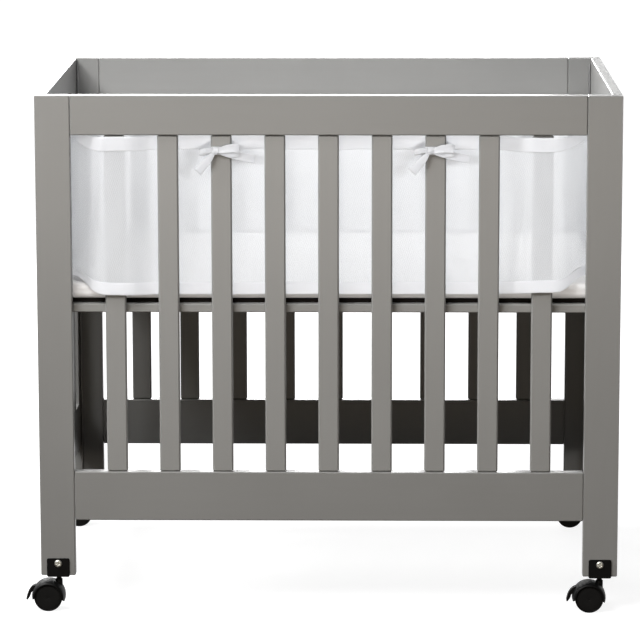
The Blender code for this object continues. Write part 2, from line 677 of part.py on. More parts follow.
def bracket_mesh():
    """An L bracket: a plate on the leg's face, and a flange under the leg with the stem's hole."""
    flange_top = LEG_BOTTOM - GAP
    flange_bottom = flange_top - BRACKET_THICKNESS
    back_y = -FRAME_THICKNESS / 2 - GAP
    half_width = BRACKET_WIDTH / 2
    outline = rounded_outline(
        -half_width, half_width, flange_bottom, BRACKET_TOP, BRACKET_CORNER, (0, 30, 60, 90)
    )
    plate = prism(outline, BRACKET_THICKNESS / 2, "plate")
    plate.transform(Matrix.Translation((0, back_y - BRACKET_THICKNESS / 2, 0)))
    flange_half_width = half_width - BRACKET_CORNER
    flange = box_mesh(
        "flange",
        (-flange_half_width, back_y - BRACKET_THICKNESS / 2, flange_bottom),
        (flange_half_width, FRAME_THICKNESS / 2, flange_top),
    )
    hole = cylinder_mesh(
        "hole", STEM_HOLE_RADIUS, flange_bottom - CUT_MARGIN, flange_top + CUT_MARGIN, STEM_SIDES
    )
    return united("bracket", [plate, flange], [hole])


def build_casters(crib):
    """Four casters, all trailing the same way. Each one's moving pieces hang from an empty on its stem."""
    hood, wheels, bracket = hood_mesh(), wheel_pair_mesh(), bracket_mesh()
    pivot_x, pivot_z = BRAKE_PIVOT
    brake = prism([(x - pivot_x, z - pivot_z) for x, z in BRAKE_OUTLINE], BRAKE_HALF_WIDTH, "brake")
    for side, facing in (("front", -1), ("rear", 1)):
        for end, direction in (("left", -1), ("right", 1)):
            place = f"{side}_{end}"
            x, y = direction * STEM_X, facing * STEM_Y
            half_turn = (0, 0, 0 if facing < 0 else math.pi)
            swivel = bpy.data.objects.new(f"swivel_{place}", None)
            bpy.data.collections[COLLECTION].objects.link(swivel)
            swivel.parent = crib
            swivel.location = (x, y, AXLE_Z)
            add_part(f"caster_bracket_{place}", bracket, "bracket_steel", crib, (x, y, 0), half_turn)
            add_part(f"caster_hood_{place}", hood, "caster_plastic", swivel, (-TRAIL, 0, 0))
            add_part(f"caster_wheels_{place}", wheels, "caster_plastic", swivel, (-TRAIL, 0, 0))
            brake_place = (-TRAIL + pivot_x, 0, pivot_z)
            add_part(f"caster_brake_{place}", brake, "caster_plastic", swivel, brake_place)


def build():
    clear_scene()
    make_collection(COLLECTION)
    crib = bpy.data.objects.new("crib_middle", None)
    bpy.data.collections[COLLECTION].objects.link(crib)
    crib.location = (CRIB_X, 0, 0)
    build_side_frame("front", -1, crib)
    build_side_frame("rear", 1, crib)
    build_end_panel("end_left", -1, crib)
    build_end_panel("end_right", 1, crib)
    build_bed(crib)
    build_bumper(crib)
    build_ties(crib)
    build_casters(crib)


build()
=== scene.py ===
"""Looks of a mesh crib bumper and of the painted mini crib that it is tied to.

Units are metres. The crib faces -Y. Sizes that belong to the solids are read from the frame's boxes. The
bows' ribbons repeat the rows that shape their solids. So does the bumper's route, but at the front corners
its lower edge stands up to 7 mm above the solid's, and the bindings are squeezed.
"""

import json
from math import cos, dist, exp, pi, radians, sin, sqrt

import bmesh
import bpy
import numpy as np
from mathutils import Matrix, Vector, noise


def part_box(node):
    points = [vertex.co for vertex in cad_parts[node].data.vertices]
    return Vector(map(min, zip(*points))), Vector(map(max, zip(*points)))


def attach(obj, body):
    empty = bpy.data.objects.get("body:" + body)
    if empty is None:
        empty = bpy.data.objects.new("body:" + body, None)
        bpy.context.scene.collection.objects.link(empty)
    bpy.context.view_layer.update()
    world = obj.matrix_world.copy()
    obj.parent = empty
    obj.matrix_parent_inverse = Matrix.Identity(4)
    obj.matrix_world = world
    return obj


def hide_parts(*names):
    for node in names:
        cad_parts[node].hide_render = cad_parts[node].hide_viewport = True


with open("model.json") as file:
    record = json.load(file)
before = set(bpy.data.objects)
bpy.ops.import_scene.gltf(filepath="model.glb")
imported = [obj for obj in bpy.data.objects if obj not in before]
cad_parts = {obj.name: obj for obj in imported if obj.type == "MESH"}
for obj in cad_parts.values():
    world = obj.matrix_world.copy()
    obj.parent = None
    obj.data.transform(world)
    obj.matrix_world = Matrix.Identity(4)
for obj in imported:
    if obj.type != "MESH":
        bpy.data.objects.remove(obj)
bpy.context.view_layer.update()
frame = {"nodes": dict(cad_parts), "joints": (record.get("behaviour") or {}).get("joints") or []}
NODES = frame["nodes"]

SIDES = ("front", "rear")
ENDS = ("left", "right")
TIE_SLATS = (3, 7)
CLOTH_SLOTS = ("bumper_mesh", "binding", "ribbon")

# Places read from the frame
PAD_LOW, PAD_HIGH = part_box("pad")
CRIB_X = (PAD_LOW.x + PAD_HIGH.x) / 2
SLAT_LOW, SLAT_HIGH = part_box("slat_front_5")
SLAT_FACE_Y = -SLAT_LOW.y  # its distance in front of the middle
SLAT_WIDTH = SLAT_HIGH.x - SLAT_LOW.x

MERGE_DISTANCE = 0.00001  # between points that are one

# Bumper
PLAIN_EDGES = (0.563, 0.8435, 1, 1)  # lower and upper edge, and its bindings not squeezed
GAP = 0.0003  # between cloths that lie on each other
SIDE_Y = 0.307  # the strip's middle, inside the front and rear slats
END_X = 0.484  # and inside the end panels
CORNER_RADIUS = 0.036  # at the rear
END_GAP = 0.004  # between the strip's two ends
COLUMN_STEP = 0.005  # along the strip
MESH_ROWS = 34
MESH_INSET = 0.0004  # between its edge and the tape's fold
TAPE_THICKNESS = 0.0008
TAPE_OFF = 0.0017  # the tape's middle surface from the strip's middle, at its fold
TAPE_EDGE_OFF = 0.0007  # and at its edges, which are sewn down
TAPE_WAVE = 0.00025  # how far its edges wave, and the waves' length
TAPE_WAVE_LENGTH = 0.011
TAPE_LIP = 0.0008  # the narrow row at its edges
TAPE_ROWS = (0.72, 0.45, 0.2)  # the next ones, as shares of its height from the fold
TOP_HEIGHT = 0.025  # of a binding
BOTTOM_HEIGHT = 0.022
SEAM_DRIFT = 0.0007  # how far a seam wanders from its line
SEAM_REACH = 0.03
EDGE_DRIFT = 0.0006  # and the strip's edges in height
BOW = 0.0022  # how far the mesh bows inwards between its bindings
BOW_LENGTH = 0.118
RIPPLES = (  # depth, scale along the strip, scale up it, seed
    (0.001, 7, 3.5, 11),
    (0.0004, 30, 9, 23),
)
PUCKER_LENGTH = 0.014  # gathers that the seams draw in the mesh
PUCKER_DEPTH = 0.0005
PUCKER_REACH = 0.022

# The strip's way round a front corner, from inside the second slat out in front of the first one, back in
# beside the post and over the pad's corner to the end panel: x outwards from the crib's middle, y, and the
# heights of the lower and upper edge on the left, then on the right. Where the bindings are squeezed, the
# shares of their height that are still seen follow in the same order.
WEAVE = (
    (0.27, -0.307, 0.563, 0.8435, 0.5635, 0.8435),
    (0.288, -0.3072, 0.563, 0.8435, 0.564, 0.8435),
    (0.304, -0.31, 0.5632, 0.8433, 0.565, 0.843),
    (0.321, -0.32, 0.564, 0.843, 0.567, 0.8422),
    (0.337, -0.331, 0.565, 0.843, 0.569, 0.842),
    (0.352, -0.3354, 0.5656, 0.8434, 0.5706, 0.8424),
    (0.371, -0.3358, 0.566, 0.8436, 0.5714, 0.8418),
    (0.391, -0.3354, 0.5664, 0.8432, 0.5716, 0.8424),
    (0.406, -0.3298, 0.5695, 0.8434, 0.5735, 0.843, 0.95, 0.97, 0.92, 0.95),
    (0.418, -0.318, 0.579, 0.8436, 0.5805, 0.8434, 0.78, 0.83, 0.88, 0.82),
    (0.427, -0.3062, 0.587, 0.8442, 0.5865, 0.844, 0.62, 0.64, 0.85, 0.74),
    (0.436, -0.292, 0.591, 0.847, 0.591, 0.8466, 0.55, 0.58, 0.82, 0.68),
    (0.45, -0.266, 0.5905, 0.85, 0.5912, 0.85, 0.52, 0.57, 0.78, 0.7),
    (0.465, -0.233, 0.5875, 0.85, 0.588, 0.85, 0.54, 0.62, 0.74, 0.76),
    (0.477, -0.196, 0.586, 0.849, 0.5855, 0.849, 0.58, 0.68, 0.7, 0.82),
    (0.483, -0.16, 0.5815, 0.847, 0.5805, 0.847, 0.75, 0.85, 0.82, 0.9),
    (0.484, -0.12, 0.569, 0.845, 0.569, 0.845),
    (0.484, -0.08, 0.563, 0.8435, 0.563, 0.8435),
)
RIDGE_DEPTH = 0.012  # how far a full squeeze would fold the cloth out beside a binding
RIDGE_WIDTH = 0.006
RIDGE_PLACES = {-1: -0.002, 1: 0.006}  # its middle from the seam, into the cloth: top and bottom binding

# Soft creases in the mesh: the side they are on, x and z of their middle, their lean from upright in
# degrees, their length, width and depth inwards
CREASES = (
    ("front", -0.318, 0.742, 38, 0.06, 0.01, 0.0022),
    ("front", -0.336, 0.64, 8, 0.09, 0.012, 0.0016),
    ("front", -0.408, 0.7, -4, 0.12, 0.006, 0.002),
    ("front", -0.474, 0.64, 4, 0.034, 0.006, -0.004),
    ("front", 0.408, 0.7, 5, 0.12, 0.006, -0.0015),
    ("front", 0.322, 0.7, -12, 0.09, 0.014, 0.0018),
    ("front", -0.185, 0.79, 24, 0.04, 0.007, 0.0016),
    ("front", 0.186, 0.79, -22, 0.04, 0.007, 0.0016),
    ("front", -0.07, 0.66, 14, 0.08, 0.016, 0.0018),
    ("front", 0.075, 0.705, -9, 0.1, 0.014, 0.0018),
    ("rear", -0.33, 0.69, 15, 0.09, 0.014, 0.003),
    ("rear", -0.13, 0.73, -20, 0.07, 0.012, 0.0026),
    ("rear", 0.14, 0.67, 12, 0.09, 0.015, 0.003),
    ("rear", 0.3, 0.74, -16, 0.07, 0.012, 0.0026),
)
CREASE_REACH = 0.14  # along the strip, past which a crease is left out

# Stitches that hold the bindings
STITCH_PITCH = 0.0036
STITCH_LENGTH = 0.0027
STITCH_WIDTH = 0.0006
STITCH_HEIGHT = 0.0004
STITCH_IN = 0.0028  # from the tape's edge
STITCH_RINGS = ((-0.5, 0.35), (-0.25, 1), (0.25, 1), (0.5, 0.35))  # along it, and its fullness there
STITCH_SECTION = ((-0.4, 0.5), (1, 0.5), (1, -0.5), (-0.4, -0.5))  # off the tape, and across

# Ribbon ties, in front of a slat's face: x to the right, y inwards, z up from the knot's height
TIE_Z = 0.819
RIBBON_WIDTH = 0.015
RIBBON_THICKNESS = 0.0006
RIBBON_CLEARANCE = 0.0022
RIBBON_BACK_RISE = 0.008
RIBBON_CORNER = 0.003
RIBBON_ACROSS = 10  # faces across its width
RIBBON_STEPS = 7  # on each stretch between two rows
RIBBON_FOLD = 0.0016  # depth of its gathers where it is narrowest
RIBBON_CURL = 0.0007
RIBBON_DRIFT = 0.0004
KNOT_PLACE = (-0.01, -0.0065, 0)
KNOT_HALF_LENGTH = 0.0055
KNOT_RADII = (0.0046, 0.0062)
KNOT_RINGS = 11
KNOT_SIDES = 28
# The loops and the free ends: a seed, the slant of the cut end as a share of the width, and rows of x, y, z,
# half the width, and how far it leans to the right
RIBBON_RUNS = (
    (10, 0, (  # right loop
        (-0.008, -0.008, 0, 0.003, 0), (0.003, -0.0115, 0.003, 0.0062, 0.1),
        (0.015, -0.014, 0.0052, 0.0074, 0.15), (0.026, -0.0145, 0.0058, 0.0075, 0.1),
        (0.0315, -0.011, 0.003, 0.0075, 0), (0.027, -0.0072, -0.003, 0.0075, -0.15),
        (0.015, -0.0055, -0.0048, 0.0072, -0.15), (0.003, -0.005, -0.0028, 0.006, -0.1),
        (-0.008, -0.0055, 0, 0.003, 0),
    )),
    (9, 0, (  # left loop
        (-0.012, -0.008, 0.0005, 0.003, 0), (-0.02, -0.011, 0.0012, 0.0045, 0.1),
        (-0.03, -0.012, 0, 0.0054, 0.2), (-0.0365, -0.009, -0.0015, 0.0054, 0.2),
        (-0.031, -0.006, -0.0026, 0.0054, 0.1), (-0.021, -0.005, -0.0018, 0.0045, 0),
        (-0.012, -0.0055, 0, 0.003, 0),
    )),
    (10, -0.12, (  # right end
        (-0.008, -0.005, -0.001, 0.003, 0), (0.008, -0.0048, -0.004, 0.0055, 0.15),
        (0.024, -0.0045, -0.0075, 0.007, 0.25), (0.042, -0.002, -0.0115, 0.0075, 0.32),
        (0.058, 0.001, -0.015, 0.0078, 0.36),
    )),
    (9, 0.05, (  # left end
        (-0.012, -0.0085, -0.0015, 0.003, -0.6), (-0.019, -0.011, -0.011, 0.0055, -0.74),
        (-0.028, -0.011, -0.0215, 0.007, -0.72), (-0.041, -0.0085, -0.036, 0.008, -0.68),
    )),
)

# Pad
PAD_CORNER_RADIUS = 0.03
PAD_CORNER_STEPS = 8
PAD_SIDE_STEP = 0.012
PAD_EDGE_RADIUS = 0.012
PAD_SEAM_DEPTH = 0.0016
PAD_DIP = 0.0035  # deepest hollows of the top
PAD_RINGS = 14

# Casters, round their axle unless said otherwise
WHEEL_SIDES = 72
HOOD_ANGLES = (-17, 192)  # degrees, from +X towards +Z round the axle
HOOD_STEPS = 60
HOOD_SLANT = 8  # degrees by which its ends are cut back on the inside
HOOD_SHELL = (  # (y, radius, swell): its outer face from the near lip to the middle
    (0.0211, 0.0236, 0), (0.0215, 0.0241, 0), (0.0216, 0.0249, 0), (0.0209, 0.0256, 0.1),
    (0.019, 0.0263, 0.35), (0.016, 0.0269, 0.65), (0.012, 0.0275, 0.88), (0.0061, 0.0281, 1),
    (0, 0.0281, 1),
)
HOOD_SWELL = 0.0006  # how far its middle stands above those radii, away from its ends
HOOD_THICKNESS = 0.0013
SLOT_HALF_WIDTH = 0.0061  # the gap that the brake lever stands in
SLOT_ANGLE = 141
WEB_HALF_THICKNESS = 0.0047
WEB_EASE = 0.0006  # of its edges
WEB_BORE_RADIUS = 0.0066
WEB_RING_RADIUS = 0.011
WEB_REACH = 0.0285
WEB_ARM_ANGLES = (14, 108)  # where the web reaches the hood
WEB_ARM_BLEND = 22  # degrees
WEB_SIDES = 72
TRAIL = 0.0183  # wheel axle behind the stem, towards -X
STEM = (  # (radius, height above the floor) of the boss and the stem on it
    (0, 0.032), (0.0056, 0.032), (0.0064, 0.0328), (0.0064, 0.055), (0.0054, 0.056), (0.0051, 0.0563),
    (0.0043, 0.0572), (0.0043, 0.063), (0, 0.063),
)
STEM_SIDES = 40
LEVER_EDGES = ((-0.0055, 0.0007), (-0.0047, 0), (0.0047, 0), (0.0055, 0.0007))  # y, and how far in
LEVER_OUTLINE = (  # (x, z) from the axle
    (-0.0205, 0.0192), (-0.0244, 0.019), (-0.03, 0.0155), (-0.0352, 0.0082), (-0.038, 0),
    (-0.039, -0.0062), (-0.0364, -0.0044), (-0.0334, 0.0006), (-0.0318, 0.0056), (-0.0272, 0.0098),
    (-0.0194, 0.0114), (-0.0184, 0.0155),
)
SCREW_RADIUS = 0.0068
SCREW_RISE = 0.003
SCREW_Z = 0.0855
SCREW_TURN = 18  # degrees by which its cross is off the upright
SCREW_RINGS = 8
SCREW_SIDES = 32
CROSS_DEPTH = 0.0016
CROSS_HALF_WIDTH = 0.001
CROSS_REACH = 0.0034

# Hinges at the rear corners: a pin through short knuckles
HINGE_RADIUS = 0.0019
HINGE_PIN_RADIUS = 0.0011
HINGE_PIN_PROUD = 0.001
HINGE_SIDES = 16
HINGE_EASE = 0.0002
KNUCKLE_PITCH = 0.009
KNUCKLE_GAP = 0.0007
HINGE_SPANS = ((0.605, 0.903), (0.11, 0.5))  # heights
HINGE_IN = 0.0024  # from both walls of the corner
REAR_FRAME_IN = 0.018  # the rear frame's inner face is nearer to the middle than SLAT_FACE_Y


# ---- meshes

def mesh_of(points, faces, name, cloth=None, smooth_angle=None):
    """A mesh from lists. cloth is each point's place on the flat cloth, which weaves are drawn by."""
    mesh = bpy.data.meshes.new(name)
    mesh.from_pydata(points, [], faces)
    if cloth is not None:
        places = mesh.attributes.new("cloth", "FLOAT_VECTOR", "POINT")
        places.data.foreach_set("vector", np.asarray(cloth, np.float32).ravel())
    mesh.update()
    mesh.shade_smooth()
    if smooth_angle is not None:
        mesh.set_sharp_from_angle(angle=radians(smooth_angle))
    return mesh


def mesh_from(bm, name, smooth_angle):
    """A mesh from a bmesh, whose meeting points are merged and whose faces look outwards."""
    bmesh.ops.remove_doubles(bm, verts=bm.verts, dist=MERGE_DISTANCE)
    bmesh.ops.recalc_face_normals(bm, faces=bm.faces)
    mesh = bpy.data.meshes.new(name)
    bm.to_mesh(mesh)
    bm.free()
    mesh.shade_smooth()
    mesh.set_sharp_from_angle(angle=radians(smooth_angle))
    return mesh


def add_object(name, data):
    made = bpy.data.objects.new(name, data)
    bpy.context.scene.collection.objects.link(made)
    return made


CLOTHS = []  # pieces of the bumper, which has lamps of its own


def show(name, mesh, finish, body="crib", slot=None, replaces=(), at=None):
    """A piece on a body, with its material. at moves its mesh into place."""
    if at is not None:
        mesh.transform(at)
    piece = add_object(name, mesh)
    mesh.materials.append(finish)
    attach(piece, body)
    if replaces:
        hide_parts(*replaces)
    if slot in CLOTH_SLOTS:
        CLOTHS.append(piece)
    return piece


def grid_faces(columns, rows, start=0):
    """Quads between neighbours in a grid whose points run down each column in turn."""
    return [
        (a, a + rows, a + rows + 1, a + 1)
        for i in range(columns - 1) for a in range(start + i * rows, start + (i + 1) * rows - 1)
    ]


def tube_faces(rings, count, start=0, ends=(0, 1)):
    """Quads round a tube of rings, each of count points, and the faces that close its ends."""
    faces = []
    for first in range(start, start + (rings - 1) * count, count):
        for k in range(count):
            a, b = first + k, first + (k + 1) % count
            faces.append((a, b, b + count, a + count))
    last = start + (rings - 1) * count
    caps = (tuple(range(start, start + count))[::-1], tuple(range(last, last + count)))
    return faces + [caps[end] for end in ends]


def add_modifier(piece, kind, **values):
    modifier = piece.modifiers.new(kind.lower(), kind)
    for name, value in values.items():
        setattr(modifier, name, value)


def polar(radius, degrees):
    angle = radians(degrees)
    return radius * cos(angle), radius * sin(angle)


def share_of(value):
    """The value, kept from 0 to 1."""
    return min(1, max(0, value))


def catmull_rom(points, steps):
    """A smooth curve through the points, each a tuple of any length, with steps on each stretch."""
    ends = [points[0], *points, points[-1]]
    curve = []
    for a, b, c, d in zip(ends, ends[1:], ends[2:], ends[3:]):
        for k in range(steps):
            t = k / steps
            curve.append(tuple(
                0.5 * (2 * q + (r - p) * t + (2 * p - 5 * q + 4 * r - s) * t ** 2
                       + (3 * q - p - 3 * r + s) * t ** 3)
                for p, q, r, s in zip(a, b, c, d)
            ))
    curve.append(tuple(points[-1]))
    return curve


def wander(*place, scale=1, seed=0):
    """Slow noise from -1 to 1."""
    return noise.noise(Vector(place) * scale + Vector((seed, 1.7 * seed, -seed)))


# ---- materials

class Nodes:
    """Adds nodes to a tree. Names in capitals, and numbers after a _, are inputs. The others are settings."""

    def __init__(self, tree):
        self.tree = tree

    def fill(self, node, **values):
        for name, value in values.items():
            if name.islower():
                setattr(node, name, value)
                continue
            socket = node.inputs[int(name[1:]) if name[0] == "_" else name.replace("_", " ")]
            if isinstance(value, bpy.types.NodeSocket):
                self.tree.links.new(value, socket)
            else:
                socket.default_value = (*value, 1) if socket.type == "RGBA" else value

    def node(self, kind, output=0, **values):
        made = self.tree.nodes.new("ShaderNode" + kind)
        self.fill(made, **values)
        return made.outputs[output]

    def split(self, vector):
        return self.node("SeparateXYZ", _0=vector).node.outputs


class Finish(Nodes):
    """A material on a Principled shader."""

    def __init__(self, name, **inputs):
        self.material = bpy.data.materials.new(name)
        self.material.use_nodes = True
        super().__init__(self.material.node_tree)
        self.shader = self.tree.nodes["Principled BSDF"]
        self.fill(self.shader, **inputs)

    def math(self, operation, a, b=0):
        return self.node("Math", operation=operation, _0=a, _1=b)

    def place(self, scale=(1, 1, 1)):
        """Where a point of the object is, times scale on each axis."""
        where = self.node("TexCoord", output="Object")
        return self.node("VectorMath", operation="MULTIPLY", _0=where, _1=scale)

    def cloth(self):
        """Where a point lies on the flat cloth: along it, and across."""
        return self.split(self.node("Attribute", output="Vector", attribute_name="cloth"))[:2]

    def noise(self, scale, detail=2, roughness=0.5, stretch=(1, 1, 1)):
        place = self.place(stretch)
        return self.node("TexNoise", Vector=place, Scale=scale, Detail=detail, Roughness=roughness)

    def mixed(self, share, first, second):
        return self.node("Mix", output=2, data_type="RGBA", _0=share, _6=first, _7=second)

    def bump(self, height, distance, strength=1, under=None):
        normal = {} if under is None else {"Normal": under}
        return self.node("Bump", Height=height, Distance=distance, Strength=strength, **normal)

    def wear(self, tone, share, rough, relief=None):
        """The material. Its roughness goes from the first of rough to the second with share."""
        rough = self.node("MapRange", Value=share, To_Min=rough[0], To_Max=rough[1])
        self.fill(self.shader, Base_Color=tone, Roughness=rough)
        if relief is not None:
            self.fill(self.shader, Normal=relief)
        return self.material


def dimmed(tone, share):
    return tuple(share * c for c in tone)


def paint_finish(name, grain_axis, light=1):
    """Satin grey paint on wood. The grain shows faintly through it and runs along grain_axis."""
    finish = Finish(name, Specular_IOR_Level=0.5, Coat_Weight=0.35, Coat_Roughness=0.22)
    stretch = [5 if axis == grain_axis else 90 for axis in range(3)]
    grain = finish.noise(1, 4, 0.6, stretch)
    peel = finish.noise(420)
    cloud = finish.noise(5, 3)
    tone = finish.mixed(cloud, dimmed((0.232, 0.231, 0.224), light), dimmed((0.264, 0.262, 0.254), light))
    tone = finish.mixed(finish.math("MULTIPLY", grain, 0.2), tone, dimmed((0.195, 0.192, 0.184), light))
    relief = finish.bump(peel, 0.0001, 0.35, finish.bump(grain, 0.00025, 0.5))
    return finish.wear(tone, cloud, (0.36, 0.5), relief)


def board_finish():
    finish = Finish("board_raw", Specular_IOR_Level=0.08)
    grain = finish.noise(1, 5, 0.65, (6, 70, 70))
    tone = finish.mixed(grain, (0.003, 0.0022, 0.0018), (0.008, 0.006, 0.0045))
    return finish.wear(tone, grain, (0.6, 0.85), finish.bump(grain, 0.0004, 0.5))


def woven(finish, u, v, pitch):
    """Height of a plain weave: threads along u pass over and under threads along v."""
    turn = 2 * pi / pitch
    warp = finish.math("SINE", finish.math("MULTIPLY", u, turn))
    weft = finish.math("SINE", finish.math("MULTIPLY", v, turn))
    return finish.math("MULTIPLY", warp, weft)


def pad_finish():
    finish = Finish("pad_cotton", Sheen_Weight=0.15, Specular_IOR_Level=0.25)
    weave = woven(finish, *finish.split(finish.place())[:2], 0.0014)
    slub = finish.noise(1, 3, stretch=(300, 40, 300))
    tone = finish.mixed(finish.noise(9, 3), (0.69, 0.685, 0.68), (0.765, 0.76, 0.755))
    relief = finish.bump(slub, 0.0002, 0.4, finish.bump(weave, 0.0003, 0.5))
    return finish.wear(tone, slub, (0.78, 0.92), relief)


MESH_PITCH = 0.0021  # between the mesh's holes
MESH_OPEN = 0.56  # how much a hole lets through
MESH_GLOW = 0.3  # share of its light that comes through the threads


def sheer(finish, glow, cover=None):
    """Lets light through the cloth from behind, and sight through its holes where cover is under 1."""
    through = finish.node("BsdfTranslucent", Color=(0.9, 0.91, 0.93))
    surface = finish.node("MixShader", _0=glow, _1=finish.shader.outputs[0], _2=through)
    if cover is not None:
        open_air = finish.node("BsdfTransparent")
        surface = finish.node("MixShader", _0=cover, _1=open_air, _2=surface)
    finish.fill(finish.tree.nodes["Material Output"], Surface=surface)


def mesh_finish():
    """White knitted mesh: small round holes in a honeycomb layout, with raised threads between them."""
    finish = Finish("bumper_air_mesh", Sheen_Weight=0.2, Specular_IOR_Level=0.3)
    u, v = finish.cloth()
    turn = 4 * pi / (sqrt(3) * MESH_PITCH)
    waves = []
    for degrees in (0, 120, 240):
        turn_u, turn_v = polar(turn, degrees)
        along = finish.math("ADD", finish.math("MULTIPLY", u, turn_u), finish.math("MULTIPLY", v, turn_v))
        waves.append(finish.math("COSINE", along))
    comb = finish.math("ADD", finish.math("ADD", waves[0], waves[1]), waves[2])
    thread = finish.node("MapRange", Value=comb, From_Max=0.7, To_Min=1, To_Max=0)
    cloud = finish.noise(14, 3)
    tone = finish.mixed(cloud, (0.79, 0.795, 0.81), (0.83, 0.835, 0.845))
    relief = finish.bump(finish.noise(1500), 0.0001, 0.3, finish.bump(thread, 0.0004, 0.4))
    sheer(finish, MESH_GLOW, finish.node("MapRange", Value=thread, To_Min=1 - MESH_OPEN, To_Max=1))
    return finish.wear(tone, cloud, (0.7, 0.85), relief)


def tape_finish(name, tint, glow, pitch, sheen, rough):
    """White tape with fine ribs across it."""
    finish = Finish(name, Sheen_Weight=sheen, Specular_IOR_Level=0.35)
    u, v = finish.cloth()
    weave = woven(finish, u, v, pitch)
    rib = finish.math("SINE", finish.math("MULTIPLY", u, 2 * pi / pitch))
    cloud = finish.noise(30, 4)
    sheer(finish, glow)
    relief = finish.bump(weave, 0.0002, 0.35, finish.bump(rib, 0.0002, 0.5))
    return finish.wear(finish.mixed(cloud, dimmed(tint, 0.95), tint), cloud, rough, relief)


def thread_finish():
    finish = Finish("stitching_thread", Sheen_Weight=0.3, Specular_IOR_Level=0.4)
    ply = finish.noise(2600, 1)
    return finish.wear(finish.mixed(ply, (0.72, 0.72, 0.74), (0.86, 0.86, 0.88)), ply, (0.5, 0.7))


def plastic_finish(name, rough, tone_low, tone_high, gloss, grain=900):
    """Black moulded plastic with a fine spark-eroded grain."""
    finish = Finish(name, Specular_IOR_Level=gloss)
    speck = finish.noise(grain)
    cloud = finish.noise(40, 4)
    tone = finish.mixed(cloud, [tone_low] * 3, [tone_high] * 3)
    return finish.wear(tone, cloud, rough, finish.bump(speck, 0.00012, 0.4))


def steel_finish(name, tone, rough):
    finish = Finish(name, Metallic=1)
    brushed = finish.noise(1, stretch=(1800, 120, 1800))
    tone = finish.mixed(brushed, dimmed(tone, 0.85), tone)
    return finish.wear(tone, brushed, rough, finish.bump(brushed, 0.00005, 0.3))


# ---- crib and bed

def wear_node(node, finish, edge):
    """Gives a carried-over node its finish, and a fine round on its edges."""
    node.data.materials.clear()
    node.data.materials.append(finish)
    add_modifier(node, "BEVEL", width=edge, segments=2, limit_method="ANGLE", angle_limit=radians(28))


def finish_crib():
    """The wooden nodes keep their solids. A small bevel softens their chamfers."""
    across, upright = paint_finish("satin_grey_paint_x", 0), paint_finish("satin_grey_paint_z", 2)
    across_light = paint_finish("satin_grey_paint_light_x", 0, light=1.14)
    upright_light = paint_finish("satin_grey_paint_light_z", 2, light=1.14)
    finishes = {  # by the start of a node's name: the first one that fits
        "support": across_light, "rail_rear_top": across_light, "rail": across, "slat_front": upright_light,
        "post": upright, "slat": upright, "end": upright, "board": board_finish(),
    }
    for name, node in NODES.items():
        start = next((start for start in finishes if name.startswith(start)), None)
        if start:
            wear_node(node, finishes[start], 0.0006)


# ---- bumper

def corner_route(direction):
    """The weave round one front corner: x, y, the edges' heights and the bindings' shares."""
    first = 0 if direction < 0 else 2
    points = []
    for x, y, *values in WEAVE:
        heights, shares = values[:4], values[4:] or [1] * 4
        points.append((direction * x, y, *heights[first:first + 2], *shares[first:first + 2]))
    return points


def rear_corner(direction):
    x, y = END_X - CORNER_RADIUS, SIDE_Y - CORNER_RADIUS
    reaches = (polar(CORNER_RADIUS, degrees) for degrees in range(0, 91, 6))
    return [(direction * (x + dx), y + dy, *PLAIN_EDGES) for dx, dy in reaches]


def bumper_route():
    """The whole strip from end to end, in rows like corner_route's."""
    halves = []
    for direction in (-1, 1):
        weave = catmull_rom(corner_route(direction), 6)
        halves.append([*weave, *rear_corner(direction), (direction * END_GAP / 2, SIDE_Y, *PLAIN_EDGES)])
    left, right = halves
    return [*left[::-1], *right]


def strip_frames():
    """Evenly spaced places along the strip: its route's row, the inward direction and the arc length."""
    route = np.array(bumper_route())
    route[:, 0] += CRIB_X
    steps = np.hypot(*np.diff(route[:, :2], axis=0).T)
    route = route[np.concatenate([[True], steps > 1e-7])]
    reach = np.concatenate([[0], np.cumsum(np.hypot(*np.diff(route[:, :2], axis=0).T))])
    count = int(round(reach[-1] / COLUMN_STEP)) + 1
    at = np.linspace(0, reach[-1], count)
    smooth = np.stack([np.interp(at, reach, route[:, k]) for k in range(6)], axis=1)
    for _ in range(3):  # eases the corners between the straight runs and the arcs
        smooth[1:-1] = (smooth[:-2] + 2 * smooth[1:-1] + smooth[2:]) / 4
    along = np.gradient(smooth[:, :2], axis=0)
    along /= np.hypot(*along.T)[:, None]
    inward = np.stack([-along[:, 1], along[:, 0]], axis=1)
    return smooth, inward, at


STRIP, INWARD, ARC = strip_frames()


def face_of(x, y):
    return "front" if y < -0.15 else "rear" if y > 0.28 else "end"


def seam_drift(arc, direction):
    return SEAM_DRIFT * wander(arc * 6, direction, 0, seed=9)


def ridge(share, direction, away):
    """The fold that a squeezed binding raises. away is the height from its seam into the cloth."""
    return -RIDGE_DEPTH * (1 - share) * exp(-((away - RIDGE_PLACES[direction]) / RIDGE_WIDTH) ** 2)


def crease_depth(x, y, z, belly):
    """How far the soft creases push the mesh in at a place."""
    pushed = 0
    for face, crease_x, crease_z, lean, length, width, depth in CREASES:
        dx, dz = x - CRIB_X - crease_x, z - crease_z
        if face != face_of(x, y) or abs(dx) > CREASE_REACH:
            continue
        across, along = polar(1, lean)
        down = dz * across - dx * along
        side = dx * across + dz * along
        pushed += depth * exp(-(down / length) ** 2 - (side / width) ** 2) * min(1, belly * 3)
    return pushed


